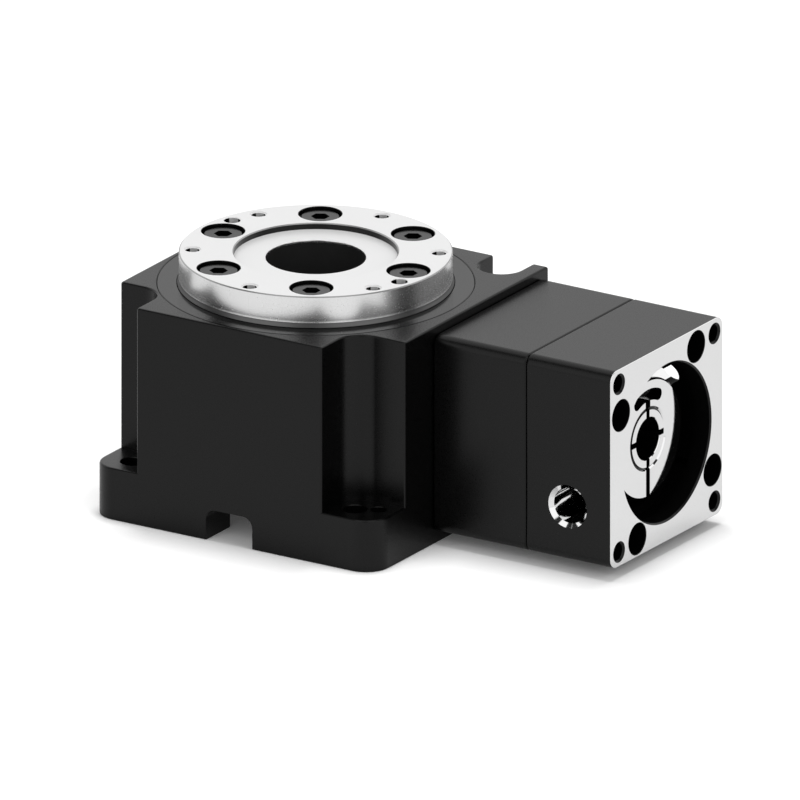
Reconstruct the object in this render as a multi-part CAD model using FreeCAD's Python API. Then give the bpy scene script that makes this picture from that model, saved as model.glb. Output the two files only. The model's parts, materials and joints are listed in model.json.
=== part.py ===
import FreeCAD
import Part

import math
import os

# Hollow rotary platform with an offset right-angle planetary input, in millimetres.
# The platform turns about Z, its feet stand on Z = 0, and the input runs in from +X
# along an axis parallel to X, beside and below the platform's own axis.

# Main housing
housing_width = 59.2
housing_back = 30.1
housing_front = 31.35
housing_edge = 0.4
foot_thickness = 10.0
foot_corner_radius = 4.8
corner_notch_x = 20.0
corner_notch_y = 19.1
corner_notch_radius = 5.0
slot_left = 19.7
slot_right = 28.2
slot_floor = 21.2
slot_radius = 4.1
foot_hole_along = 48.0
foot_hole_across = 49.0
foot_hole_diameter = 4.5
dowel_x = 27.8
dowel_y = 22.5
dowel_diameter = 3.0
cable_notch_width = 10.0
cable_notch_height = 6.0
cable_notch_radius = 2.0

# Fits, and how far cutters run past a face
seat_gap = 0.02
running_gap = 0.05
end_gap = 0.3
overrun = 1.0
near = 0.01

# Output platform
platform_diameter = 50.0
platform_height = 48.0
platform_rise = 6.0
platform_lift = 0.2
platform_chamfer = 0.3
recess_diameter = 30.0
recess_depth = 1.2
centre_bore_diameter = 18.3
centre_land = 0.5
centre_chamfer = 0.2
platform_screw_inset = 5.0
platform_screw_count = 6
head_sink = 0.65
tapped_inset = 2.5
tapped_diameter = 2.6
tapped_chamfer = 0.3
tapped_depth = 4.5
pin_hole_angle = 165.0

# Socket cap screws: thread, length, head diameter, head height, hexagon, hexagon depth.
# The platform's screws end a little above the roots of the crown gear's teeth.
platform_thread = 4.0
platform_screw_head = (7.0, 4.0, 3.0, 2.0)
platform_screw_stop = 2.6
case_screw = (3.0, 8.0, 5.5, 3.0, 2.5, 1.5)
cover_screw = (2.5, 5.0, 4.5, 2.5, 2.0, 1.2)
clamp_screw = (3.0, 8.0, 5.5, 3.0, 2.5, 1.5)
head_edge = 0.25
counterbore_gap = 0.5
through_gap = 0.15

# Crossed roller bearing
retainer_thickness = 2.0
bearing_width = 6.0
bearing_height = 11.0
roller_inset = 3.1
roller_diameter = 2.5
roller_shortening = 0.2
roller_count = 24
spacer_thickness = 2.4
spacer_side = 1.9
ring_split = 0.35
retainer_flange_reach = 4.0
retainer_flange_lip = 1.5
retainer_flange_thickness = 1.0
retainer_inset = 2.2
seal_width = 2.1

# Crown gear and hollow shaft
shaft_wall = 1.45
journal_step = 0.6
crown_rim = 2.6
crown_pitch_inset = 7.0
crown_teeth = 36
crown_tooth_half = 0.5
crown_flank_slope = 0.30
crown_tooth_depth = 0.7
crown_root_height = 0.95
crown_tooth_sink = 0.5
mesh_inset = 1.2
chamber_gap = 1.0

# Bottom cover and lower bearing
chamber_drop = 7.3
cover_thickness = 4.0
cover_boss_wall = 2.1
cover_rim = 6.3
floor_thickness = 3.8
cover_screw_inset = 3.1
cover_screw_count = 4
lower_bearing_height = 3.5
lower_bearing_width = 4.0
lower_seal_wall = 2.0
lower_seal_sink = 0.9
lower_seal_shoulder = 0.8

# Input axis and pinion
input_offset = 9.5
input_height = 21.3
input_square = 38.1
input_corner_radius = 2.0
input_edge = 0.1
pinion_teeth = 9
pressure_angle = 25.0
pinion_addendum = 0.8
pinion_dedendum = 0.95
pinion_backlash = 0.15
pinion_face_width = 4.0
pinion_shaft_radius = 4.0
pinion_collar_radius = 5.2
pinion_core_step = 0.2
pinion_cone = 1.5
pinion_bearing_start = 25.3
pinion_bearing_radius = 8.0
pinion_bearing_width = 5.0
pinion_spacer = 2.0
ring_wall = 1.2
shoulder_start = 14.0
shoulder_bore_radius = 6.8

# Planetary stage
planet_module = 0.8
sun_teeth = 12
planet_teeth = 12
planet_count = 3
planet_addendum = 0.64
planet_dedendum = 0.9
planet_backlash = 0.12
planet_width = 5.0
carrier_radius = 12.0
carrier_thickness = 3.0
planet_pin_radius = 1.5
planet_pin_head_radius = 2.3
planet_pin_head = 0.8
planet_side_gap = 0.4
carrier_gap = 0.5
ring_cavity_gap = 0.2

# Input housing and motor adapter
input_housing_length = 20.03
input_flange = 5.95
case_screw_radius = 12.4
case_screw_sink = 3.2
adapter_length = 18.35
adapter_screw_inset = 0.52
adapter_screw_turn = 57.3
adapter_counterbore_diameter = 6.0
adapter_screw_seat = 15.0
spigot_length = 3.0
spigot_inner_radius = 13.0
rear_lip = 0.8
pilot_diameter = 30.0
pilot_depth = 6.5
pilot_guide = 3.5
pilot_relief = 0.6
pilot_chamfer = 0.3
adapter_bore_radius = 13.8
motor_hole_inset = 2.8
motor_tap_diameter = 3.3
motor_tap_chamfer = 0.38
motor_tap_depth = 10.0
access_hole_diameter = 8.3
clamp_screw_back = 9.33
clamp_screw_drop = 8.4

# Input hub, collet and bearing
hub_front = 4.05
hub_radius = 11.4
hub_flange = 8.9
hub_edge = 0.3
hub_collar = 1.0
collet_tail = 0.9
input_seal_gap = 0.1
hub_journal_radius = 8.5
hub_bearing_radius = 13.0
hub_bearing_width = 4.0
motor_shaft_diameter = 8.0
collet_wall = 1.8
collet_slits = 4
collet_slit_width = 0.8
collet_edge = 0.3
hub_slit_width = 1.3
relief_slit_width = 1.05
hub_slit_depth = 6.0
crescent_inner = 7.25
crescent_outer = 9.5
crescent_span = 66.0
sun_shaft_radius = 3.0
sun_shaft_grip = 4.3

# Places worked out from the sizes above
half_width = housing_width / 2
housing_height = platform_height - platform_rise
platform_floor = platform_height - recess_depth
platform_screw_circle = platform_diameter - 2 * platform_screw_inset
tapped_circle = platform_diameter - 2 * tapped_inset
retainer_flange_radius = platform_diameter / 2 + retainer_flange_reach
bearing_outer_radius = retainer_flange_radius - retainer_flange_lip
bearing_inner_radius = bearing_outer_radius - bearing_height
roller_circle_radius = bearing_outer_radius - roller_inset
retainer_inner_radius = bearing_outer_radius - retainer_inset
seal_lip_radius = retainer_inner_radius - seal_width
crown_outer_radius = platform_screw_circle / 2 + crown_rim
crown_pitch_radius = platform_diameter / 2 - crown_pitch_inset
pinion_module = 2 * crown_pitch_radius / crown_teeth
pinion_pitch_radius = pinion_teeth * pinion_module / 2
pitch_plane = input_height + pinion_pitch_radius
crown_root = pitch_plane + crown_root_height
platform_screw_seat = platform_height - head_sink - platform_screw_head[1]
platform_screw_length = platform_screw_seat - crown_root - platform_screw_stop
platform_screw = (platform_thread, platform_screw_length) + platform_screw_head
bearing_top = housing_height - retainer_thickness
bearing_bottom = bearing_top - bearing_width
bearing_middle = bearing_top - bearing_width / 2
chamber_radius = crown_outer_radius + chamber_gap
shaft_radius = centre_bore_diameter / 2 + shaft_wall
journal_radius = shaft_radius - journal_step
lower_bearing_outer = journal_radius + lower_bearing_height
chamber_floor = input_height - chamber_drop
cover_top = chamber_floor - floor_thickness
cover_bottom = cover_top - cover_thickness
cover_boss_radius = lower_bearing_outer + cover_boss_wall
pocket_radius = cover_boss_radius + cover_rim
cover_screw_circle = 2 * (pocket_radius - cover_screw_inset)
second_bearing_start = pinion_bearing_start + pinion_bearing_width + pinion_spacer
pinion_bearings_end = second_bearing_start + pinion_bearing_width
carrier_start = pinion_bearings_end + carrier_gap
carrier_end = carrier_start + carrier_thickness
planet_start = carrier_end + planet_side_gap
planet_end = planet_start + planet_width
sun_pitch_radius = planet_module * sun_teeth / 2
planet_pitch_radius = planet_module * planet_teeth / 2
planet_circle_radius = sun_pitch_radius + planet_pitch_radius
ring_teeth = sun_teeth + 2 * planet_teeth
ring_pitch_radius = planet_module * ring_teeth / 2
ring_cavity_radius = ring_pitch_radius + planet_dedendum + ring_cavity_gap
joint_station = housing_front + input_housing_length
motor_face = joint_station + adapter_length
cavity_start = housing_front + input_flange
hub_bearing_start = joint_station + rear_lip
hub_bearing_end = hub_bearing_start + hub_bearing_width
hub_face = motor_face - hub_front
hub_flange_start = hub_face - hub_flange
motor_hole_spacing = input_square - 2 * motor_hole_inset
adapter_screw_radius = input_square / 2 - adapter_screw_inset
collet_radius = motor_shaft_diameter / 2 + collet_wall
collet_start = hub_flange_start - collet_tail
clamp_station = motor_face - clamp_screw_back
V = FreeCAD.Vector


def box(x0, x1, y0, y1, z0, z1):
    """A block between two corners."""
    return Part.makeBox(x1 - x0, y1 - y0, z1 - z0, V(x0, y0, z0))


def cylinder(radius, low, high, x=0.0, y=0.0):
    """A cylinder along Z between two heights."""
    return Part.makeCylinder(radius, high - low, V(x, y, low))


def turned(outline):
    """A solid of revolution about Z from a closed outline of (radius, height) points."""
    points = [V(radius, 0, height) for radius, height in outline]
    face = Part.Face(Part.makePolygon(points + points[:1]))
    return face.revolve(V(0, 0, 0), V(0, 0, 1), 360)


def tube(outer, inner, low, high):
    """A plain sleeve about Z."""
    return turned([(inner, low), (outer, low), (outer, high), (inner, high)])


def prism(points, low, high):
    """An upright prism on a closed plan outline of (x, y) points."""
    corners = [V(x, y, low) for x, y in points]
    face = Part.Face(Part.makePolygon(corners + corners[:1]))
    return face.extrude(V(0, 0, high - low))


def polar(radius, angle):
    """The plan point at a radius and an angle in degrees."""
    return radius * math.cos(math.radians(angle)), radius * math.sin(math.radians(angle))


def around(shape, count, first=0.0):
    """Copies of a shape, evenly spread about Z."""
    copies = []
    for index in range(count):
        copy = shape.copy()
        copy.rotate(V(0, 0, 0), V(0, 0, 1), first + index * 360.0 / count)
        copies.append(copy)
    return copies


def moved(shape, x=0.0, y=0.0, z=0.0):
    """A copy of a shape moved to a place."""
    copy = shape.copy()
    copy.translate(V(x, y, z))
    return copy


def on_input_axis(shape):
    """Lay a shape made about Z along the input axis, with its heights as stations in X."""
    copy = shape.copy()
    copy.rotate(V(0, 0, 0), V(0, 1, 0), 90)
    copy.translate(V(0, input_offset, input_height))
    return copy


def group(solids):
    """Separate like solids in one node."""
    return Part.makeCompound(solids)


def regular_prism(radius, sides, low, high):
    """An upright prism on a regular polygon, with a flat side towards +X."""
    return prism([polar(radius, (corner + 0.5) * 360.0 / sides) for corner in range(sides)], low, high)


def cap_screw(size, sides=12):
    """A socket cap screw along Z with the underside of its head at height 0, head up."""
    thread, length, head, head_height, across, depth = size
    shank = regular_prism(thread / 2, 8, -length, head_height / 2)
    body = regular_prism(head / 2, sides, 0, head_height).fuse(shank)
    return body.cut(regular_prism(across / math.sqrt(3), 6, head_height - depth, head_height))


def involute(angle):
    """The involute of an angle in radians."""
    return math.tan(angle) - angle


def gear_outline(teeth, module, root, tip, backlash, turn=0.0, samples=3):
    """Plan outline of an involute gear with one tooth centred on an angle in degrees."""
    slope = math.radians(pressure_angle)
    pitch = teeth * module / 2
    base = pitch * math.cos(slope)
    start = max(root, base)
    flank = []
    for step in range(samples):
        radius = start + (tip - start) * step / (samples - 1)
        half = (math.pi / (2 * teeth) + involute(slope)
                - involute(math.acos(min(1.0, base / radius))) - backlash / (2 * pitch))
        flank.append((radius, math.degrees(half)))
    if root < start:
        flank.insert(0, (root, flank[0][1]))
    points = []
    for tooth in range(teeth):
        middle = turn + tooth * 360.0 / teeth
        points += [polar(radius, middle - half) for radius, half in flank]
        points += [polar(radius, middle + half) for radius, half in reversed(flank)]
    return points


def sealed_bearing(bore, outer, start, width):
    """Outer and inner ring of a sealed ball bearing about Z, with a narrow gap at its seal."""
    middle = (bore + outer) / 2
    outer_ring = tube(outer, middle + running_gap, start, start + width)
    inner_ring = tube(middle - running_gap, bore + seat_gap, start, start + width)
    return outer_ring, inner_ring


def corner_notch(side_x, side_y):
    """Cutter for an open corner of the pillar, rounded on its inner corner."""
    reach = housing_width
    cutter = box(corner_notch_x, reach, corner_notch_y, reach, -overrun, housing_height + overrun)
    edges = [edge for edge in cutter.Edges
             if upright(edge) and edge.CenterOfMass.x < corner_notch_x + near
             and edge.CenterOfMass.y < corner_notch_y + near]
    cutter = cutter.makeFillet(corner_notch_radius, edges)
    if side_x < 0:
        cutter = cutter.mirror(V(0, 0, 0), V(1, 0, 0))
    if side_y < 0:
        cutter = cutter.mirror(V(0, 0, 0), V(0, 1, 0))
    return cutter


def upright(edge):
    """Whether an edge runs along Z."""
    low, high = edge.BoundBox.ZMin, edge.BoundBox.ZMax
    flat = edge.BoundBox.XLength < near and edge.BoundBox.YLength < near
    return flat and high - low > near


def screw_slot():
    """Cutter for the round-ended slot beside the input face, open to +Y only."""
    cutter = box(slot_left, slot_right, slot_floor, housing_width, -overrun, housing_height + overrun)
    edges = [edge for edge in cutter.Edges if upright(edge) and edge.CenterOfMass.y < slot_floor + near]
    return cutter.makeFillet(slot_radius, edges)


def housing_block():
    """The outer body: a pillar cut away at its corners, on a square foot with round corners."""
    pillar = box(-housing_back, housing_front, -half_width, half_width, 0, housing_height)
    for side_x, side_y in ((-1, -1), (1, -1), (-1, 1)):
        pillar = pillar.cut(corner_notch(side_x, side_y))
    pillar = pillar.cut(screw_slot())
    rims = [edge for edge in pillar.Edges if edge.BoundBox.ZMin > housing_height - near]
    pillar = pillar.makeChamfer(housing_edge, rims)
    foot = box(-housing_back, housing_front, -half_width, half_width, 0, foot_thickness)
    corners = [edge for edge in foot.Edges
               if upright(edge) and not (edge.CenterOfMass.x > 0 and edge.CenterOfMass.y > 0)]
    foot = foot.makeFillet(foot_corner_radius, corners)
    rims = [edge for edge in foot.Edges if edge.BoundBox.ZMin > foot_thickness - near]
    foot = foot.makeChamfer(housing_edge, rims)
    return pillar.fuse(foot).removeSplitter()


def housing_cavity():
    """The stepped bore: bearing seat, gear chamber, cover seat and cable space."""
    return turned([
        (0, -overrun), (pocket_radius, -overrun), (pocket_radius, cover_top),
        (cover_boss_radius + seat_gap, cover_top), (cover_boss_radius + seat_gap, chamber_floor),
        (chamber_radius, chamber_floor), (chamber_radius, bearing_bottom),
        (bearing_outer_radius + seat_gap, bearing_bottom),
        (bearing_outer_radius + seat_gap, housing_height - retainer_flange_thickness),
        (retainer_flange_radius + seat_gap, housing_height - retainer_flange_thickness),
        (retainer_flange_radius + seat_gap, housing_height + overrun), (0, housing_height + overrun)])


def cable_notch():
    """Cutter for the round-topped cable notch in the -Y side of the foot."""
    half = cable_notch_width / 2
    inward = overrun - pocket_radius + cable_notch_radius
    cutter = box(-half, half, -half_width - overrun, inward, -overrun, cable_notch_height)
    edges = [edge for edge in cutter.Edges
             if edge.BoundBox.YLength > near and edge.CenterOfMass.z > cable_notch_height - near]
    return cutter.makeFillet(cable_notch_radius, edges)


def input_bore():
    """Cutter for the pinion's bearing bore and its shoulder."""
    wide, end = pinion_bearing_radius + seat_gap, housing_front + overrun
    return on_input_axis(turned([
        (0, shoulder_start), (shoulder_bore_radius, shoulder_start),
        (shoulder_bore_radius, pinion_bearing_start), (wide, pinion_bearing_start), (wide, end), (0, end)]))


def case_screw_places():
    """Plan points of the four screws that hold the input housing, about its axis."""
    return [polar(case_screw_radius, 45 + 90 * index) for index in range(4)]


def make_main_housing():
    """The main housing with its bores, feet, notches and screw holes."""
    body = housing_block().cut(housing_cavity())
    cutters = [cable_notch(), input_bore()]
    foot_hole = cylinder(foot_hole_diameter / 2, -overrun, foot_thickness + overrun)
    for x in (-foot_hole_along / 2, foot_hole_along / 2):
        for y in (-foot_hole_across / 2, foot_hole_across / 2):
            cutters.append(moved(foot_hole, x, y))
    dowel_hole = cylinder(dowel_diameter / 2, -overrun, foot_thickness + overrun)
    cutters += [moved(dowel_hole, dowel_x, -dowel_y), moved(dowel_hole, -dowel_x, dowel_y)]
    thread, length = case_screw[:2]
    seat = cavity_start - case_screw_sink
    for x, y in case_screw_places():
        hole = cylinder(thread / 2 + seat_gap, seat - length - end_gap, housing_front + overrun, x, y)
        cutters.append(on_input_axis(hole))
    thread, length = cover_screw[:2]
    deep = cover_bottom + cover_screw[3] + length
    hole = cylinder(thread / 2 + seat_gap, cover_top - overrun, deep, cover_screw_circle / 2)
    cutters += around(hole, cover_screw_count, 45)
    return body.cut(cutters)


def make_bottom_cover():
    """Round cover under the gear chamber with a boss for the lower bearing."""
    seal_radius = journal_radius + lower_seal_wall + seat_gap
    seal_top = cover_top - lower_seal_sink
    lip_radius = seal_radius - lower_seal_shoulder
    boss_top = cover_top + lower_bearing_width
    cover = turned([
        (seal_radius, cover_bottom), (pocket_radius - seat_gap, cover_bottom),
        (pocket_radius - seat_gap, cover_top), (cover_boss_radius, cover_top),
        (cover_boss_radius, boss_top), (lower_bearing_outer + seat_gap, boss_top),
        (lower_bearing_outer + seat_gap, cover_top), (lip_radius, cover_top),
        (lip_radius, seal_top), (seal_radius, seal_top)])
    thread, _, head, head_height = cover_screw[:4]
    place = cover_screw_circle / 2
    seat = cover_bottom + head_height
    sink = cylinder(head / 2 + through_gap, cover_bottom - overrun, seat, place)
    hole = cylinder(thread / 2 + through_gap, cover_bottom, cover_top + overrun, place)
    return cover.cut(around(sink.fuse(hole), cover_screw_count, 45))


def make_cover_screws():
    """The screws of the bottom cover, heads down."""
    screw = cap_screw(cover_screw)
    screw.rotate(V(0, 0, 0), V(1, 0, 0), 180)
    screw = moved(screw, cover_screw_circle / 2, 0, cover_bottom + cover_screw[3])
    return group(around(screw, cover_screw_count, 45))


def make_lower_seal():
    """Rubber seal ring between the bottom cover and the hollow shaft."""
    return tube(journal_radius + lower_seal_wall, journal_radius + running_gap,
                cover_bottom + lower_seal_sink, cover_top - lower_seal_sink)


def raceway(side):
    """Points of a bearing ring's V groove, from top to bottom, on the inner or outer side."""
    reach = roller_diameter / math.sqrt(2) + running_gap * math.sqrt(2)
    wall = roller_circle_radius + side * ring_split
    mouth = reach - ring_split
    return [(wall, bearing_middle + mouth), (roller_circle_radius + side * reach, bearing_middle),
            (wall, bearing_middle - mouth)]


def make_bearing_outer_ring():
    """Outer ring of the crossed roller bearing, with a V groove inside."""
    wall = roller_circle_radius + ring_split
    return turned([(bearing_outer_radius, bearing_bottom), (bearing_outer_radius, bearing_top),
                   (wall, bearing_top)] + raceway(1) + [(wall, bearing_bottom)])


def make_bearing_inner_ring():
    """Inner ring of the crossed roller bearing, with a V groove outside and screw holes."""
    wall = roller_circle_radius - ring_split
    inner = bearing_inner_radius
    ring = turned([(inner, bearing_bottom), (inner, bearing_top), (wall, bearing_top)]
                  + raceway(-1) + [(wall, bearing_bottom)])
    hole = cylinder(platform_screw[0] / 2 + through_gap, bearing_bottom - overrun,
                    bearing_top + overrun, platform_screw_circle / 2)
    return ring.cut(around(hole, platform_screw_count))


def crossed(shape, place):
    """A copy of a shape put in a roller's place in the raceway, leaning in or out in turn."""
    copy = shape.copy()
    copy.rotate(V(0, 0, 0), V(0, 1, 0), 45 if place % 2 else -45)
    copy.translate(V(roller_circle_radius, 0, bearing_middle))
    copy.rotate(V(0, 0, 0), V(0, 0, 1), place * 360.0 / roller_count)
    return copy


def make_crossed_rollers():
    """Rollers that lean in and out in turn between the two V grooves."""
    length = roller_diameter - roller_shortening
    roller = regular_prism(roller_diameter / 2, 12, -length / 2, length / 2)
    return group([crossed(roller, index) for index in range(roller_count)])


def make_roller_spacers():
    """Square spacer blocks between the rollers."""
    half = spacer_side / 2
    block = box(-half, half, -spacer_thickness / 2, spacer_thickness / 2, -half, half)
    return group([crossed(block, index + 0.5) for index in range(roller_count)])


def make_bearing_retainer():
    """Flanged ring let into the housing's top that clamps the bearing's outer ring."""
    low = housing_height - retainer_flange_thickness
    return turned([
        (retainer_inner_radius, bearing_top), (bearing_outer_radius, bearing_top),
        (bearing_outer_radius, low), (retainer_flange_radius, low),
        (retainer_flange_radius, housing_height - platform_chamfer / 2),
        (retainer_flange_radius - platform_chamfer / 2, housing_height),
        (retainer_inner_radius, housing_height)])


def make_platform_seal():
    """Rubber lip seal between the retainer and the platform's spigot."""
    return tube(retainer_inner_radius - seat_gap, seal_lip_radius + running_gap,
                bearing_top + end_gap, housing_height - end_gap)


def tapped_hole(radius, chamfer, depth, face):
    """Cutter for a chamfered blind hole from a face down."""
    return turned([(0, face - depth), (radius, face - depth), (radius, face - chamfer),
                   (radius + chamfer, face), (radius + chamfer, face + overrun), (0, face + overrun)])


def make_output_platform():
    """The turning disc with its recess, centre bore, spigot and holes."""
    radius = platform_diameter / 2
    top, low = platform_height, housing_height + platform_lift
    bore = centre_bore_diameter / 2
    recess = recess_diameter / 2
    land = platform_floor - centre_land
    disc = turned([
        (bore, land), (bore, platform_floor - centre_chamfer), (bore + centre_chamfer, platform_floor),
        (recess, platform_floor), (recess, top - platform_chamfer), (recess + platform_chamfer, top),
        (radius - platform_chamfer, top), (radius, top - platform_chamfer),
        (radius, low), (seal_lip_radius, low), (seal_lip_radius, bearing_top),
        (shaft_radius + seat_gap, bearing_top), (shaft_radius + seat_gap, land)])
    thread, _, head = platform_screw[:3]
    place = platform_screw_circle / 2
    sink = cylinder(head / 2 + counterbore_gap, platform_screw_seat, top + overrun, place)
    through = cylinder(thread / 2 + through_gap, bearing_top - overrun, top, place)
    tapped = tapped_hole(tapped_diameter / 2, tapped_chamfer, tapped_depth, top)
    pin = tapped_hole(dowel_diameter / 2, tapped_chamfer / 2, tapped_depth, top)
    cutters = around(sink.fuse(through), platform_screw_count)
    cutters += around(moved(tapped, tapped_circle / 2), 6, 30)
    cutters += around(moved(pin, tapped_circle / 2), 2, pin_hole_angle)
    return disc.cut(cutters)


def make_platform_screws():
    """Screws that hold the platform and the bearing's inner ring to the crown gear."""
    screw = cap_screw(platform_screw, 24)
    angles = [index * 360.0 / platform_screw_count for index in range(platform_screw_count)]
    places = [polar(platform_screw_circle / 2, angle) for angle in angles]
    return group([moved(screw, x, y, platform_screw_seat) for x, y in places])


def crown_tooth():
    """One straight tooth, in line with the input axis and hanging below the gear's rim."""
    rise = crown_root_height + crown_tooth_sink
    wide = crown_tooth_half + crown_flank_slope * rise
    narrow = crown_tooth_half - crown_flank_slope * crown_tooth_depth
    section = [(-narrow, -crown_tooth_depth), (narrow, -crown_tooth_depth), (wide, rise), (-wide, rise)]
    start = crown_pitch_radius - mesh_inset
    end = math.sqrt((crown_outer_radius - end_gap) ** 2 - (input_offset + wide) ** 2)
    points = [V(start, input_offset + y, pitch_plane + z) for y, z in section]
    face = Part.Face(Part.makePolygon(points + points[:1]))
    return face.extrude(V(end - start, 0, 0))


def make_crown_gear():
    """Crown gear with teeth under its rim, laid tangent to the input's offset."""
    body = turned([
        (shaft_radius + seat_gap, crown_root), (crown_outer_radius, crown_root),
        (crown_outer_radius, bearing_bottom), (bearing_inner_radius - seat_gap, bearing_bottom),
        (bearing_inner_radius - seat_gap, bearing_top - end_gap),
        (shaft_radius + seat_gap, bearing_top - end_gap)])
    thread, length = platform_screw[:2]
    end = platform_screw_seat - length
    hole = cylinder(thread / 2 + seat_gap, end - overrun / 2, bearing_bottom + overrun,
                    platform_screw_circle / 2)
    gear = body.cut(around(hole, platform_screw_count))
    return gear.fuse(around(crown_tooth(), crown_teeth)).removeSplitter()


def make_hollow_shaft():
    """Thin hollow shaft from the platform down through the bottom cover."""
    bore = centre_bore_diameter / 2
    low, step = cover_bottom + end_gap, cover_top + lower_bearing_width
    top = platform_floor - centre_land
    return turned([(bore, low), (journal_radius, low), (journal_radius, step), (shaft_radius, step),
                   (shaft_radius, top), (bore, top)])


def lower_bearing():
    """Outer and inner ring of the hollow shaft's lower bearing."""
    return sealed_bearing(journal_radius, lower_bearing_outer, cover_top, lower_bearing_width)


def make_pinion_shaft():
    """Pinion with straight involute teeth on the end of a stepped shaft."""
    tip = pinion_pitch_radius + pinion_addendum
    root = pinion_pitch_radius - pinion_dedendum
    start = crown_pitch_radius - mesh_inset - end_gap
    end = start + pinion_face_width
    outline = gear_outline(pinion_teeth, pinion_module, root, tip, pinion_backlash,
                           180 + 180.0 / pinion_teeth)
    teeth = prism(outline, start, end)
    shaft = turned([
        (0, start), (root - pinion_core_step, start), (root - pinion_core_step, end),
        (pinion_collar_radius, end + pinion_cone),
        (pinion_collar_radius, pinion_bearing_start), (pinion_shaft_radius, pinion_bearing_start),
        (pinion_shaft_radius, carrier_end - head_edge), (pinion_shaft_radius - head_edge, carrier_end),
        (0, carrier_end)])
    return on_input_axis(teeth.fuse(shaft).removeSplitter())


def pinion_bearing(start):
    """One of the two ball bearings of the pinion shaft."""
    return sealed_bearing(pinion_shaft_radius, pinion_bearing_radius, start, pinion_bearing_width)


def pinion_spacers():
    """Outer and inner sleeve between the pinion's two bearings."""
    low = pinion_bearing_start + pinion_bearing_width
    high = second_bearing_start
    outer = tube(pinion_bearing_radius, pinion_bearing_radius - ring_wall, low, high)
    inner = tube(pinion_shaft_radius + ring_wall, pinion_shaft_radius + seat_gap, low, high)
    return on_input_axis(outer), on_input_axis(inner)


def planet_angle(index):
    """Angle of a planet's centre about the input axis."""
    return index * 360.0 / planet_count


def planet_turn(index):
    """Turn of a planet that puts its gap over the sun's tooth."""
    angle = planet_angle(index)
    phase = (angle * sun_teeth / 360.0) % 1.0
    return angle + 180 + (phase + 0.5) * 360.0 / planet_teeth


def make_planet_carrier():
    """Round carrier plate on the pinion shaft with three holes for the planet pins."""
    plate = turned([
        (pinion_shaft_radius + seat_gap, pinion_bearings_end),
        (pinion_shaft_radius + ring_wall, pinion_bearings_end),
        (pinion_shaft_radius + ring_wall, carrier_start), (carrier_radius, carrier_start),
        (carrier_radius, carrier_end), (pinion_shaft_radius + seat_gap, carrier_end)])
    hole = cylinder(planet_pin_radius + seat_gap, carrier_start - overrun, carrier_end + overrun,
                    planet_circle_radius)
    return on_input_axis(plate.cut(around(hole, planet_count)))


def make_planet_pins():
    """Headed pins that carry the planets."""
    seat = planet_end + planet_side_gap / 2
    end = seat + planet_pin_head
    pin = turned([
        (0, carrier_start), (planet_pin_radius, carrier_start), (planet_pin_radius, seat),
        (planet_pin_head_radius, seat), (planet_pin_head_radius, end), (0, end)])
    return on_input_axis(group(around(moved(pin, planet_circle_radius), planet_count)))


def make_planet_gear(index):
    """One planet gear in mesh with the sun and the ring."""
    outline = gear_outline(planet_teeth, planet_module, planet_pitch_radius - planet_dedendum,
                           planet_pitch_radius + planet_addendum, planet_backlash, planet_turn(index))
    gear = prism(outline, planet_start, planet_end)
    gear = gear.cut(cylinder(planet_pin_radius + running_gap, planet_start - overrun, planet_end + overrun))
    x, y = polar(planet_circle_radius, planet_angle(index))
    return on_input_axis(moved(gear, x, y))


def make_sun_gear():
    """Sun gear with a plain shank that is held in the input hub."""
    outline = gear_outline(sun_teeth, planet_module, sun_pitch_radius - planet_dedendum,
                           sun_pitch_radius + planet_addendum, planet_backlash)
    teeth = prism(outline, planet_start, planet_end + planet_side_gap)
    end = joint_station + end_gap + sun_shaft_grip
    shank = cylinder(sun_shaft_radius, planet_start, end)
    return on_input_axis(teeth.fuse(shank))


def rounded_square(side, radius, low, high, edge):
    """A square block about Z with rounded long edges and chamfered ends."""
    half = side / 2
    block = box(-half, half, -half, half, low, high)
    block = block.makeFillet(radius, [item for item in block.Edges if upright(item)])
    rims = [item for item in block.Edges if item.BoundBox.ZLength < near]
    return block.makeChamfer(edge, rims)


def ring_space():
    """Cutter for the ring gear's teeth and the plain cavity on each side of them."""
    phase = ((planet_turn(0) - planet_angle(0)) * planet_teeth / 360.0) % 1.0
    outline = gear_outline(ring_teeth, planet_module, ring_pitch_radius - planet_addendum,
                           ring_pitch_radius + planet_dedendum, -planet_backlash,
                           planet_angle(0) + phase * 360.0 / ring_teeth)
    teeth = prism(outline, cavity_start, joint_station + overrun)
    behind = cylinder(ring_cavity_radius, cavity_start, planet_start - planet_side_gap)
    ahead = cylinder(ring_cavity_radius, planet_end + planet_side_gap, joint_station + overrun)
    return [teeth, behind, ahead]


def adapter_screw_places():
    """Plan points of the deep screws between the motor adapter and the input housing."""
    return [polar(adapter_screw_radius, adapter_screw_turn + 90 * index) for index in range(4)]


def turned_plan(x, y):
    """Plan point of a shape made about Z, for a place given across and up on the input face."""
    return -y, x


def make_input_housing():
    """Square planetary housing with ring gear teeth cut inside it."""
    body = rounded_square(input_square, input_corner_radius, housing_front, joint_station, input_edge)
    cutters = ring_space()
    cutters.append(cylinder(pinion_bearing_radius + seat_gap, housing_front - overrun,
                            cavity_start + overrun))
    thread, _, head, head_height = case_screw[:4]
    seat = cavity_start - case_screw_sink
    for x, y in case_screw_places():
        cutters.append(cylinder(head / 2 + through_gap, seat, cavity_start + overrun, x, y))
        cutters.append(cylinder(thread / 2 + through_gap, housing_front - overrun, seat + overrun, x, y))
    thread, length = case_screw[:2]
    end = motor_face - adapter_screw_seat - length
    for across, up in adapter_screw_places():
        x, y = turned_plan(across, up)
        cutters.append(cylinder(thread / 2 + seat_gap, end - overrun / 2, joint_station + overrun, x, y))
    return on_input_axis(body.cut(cutters))


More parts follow.
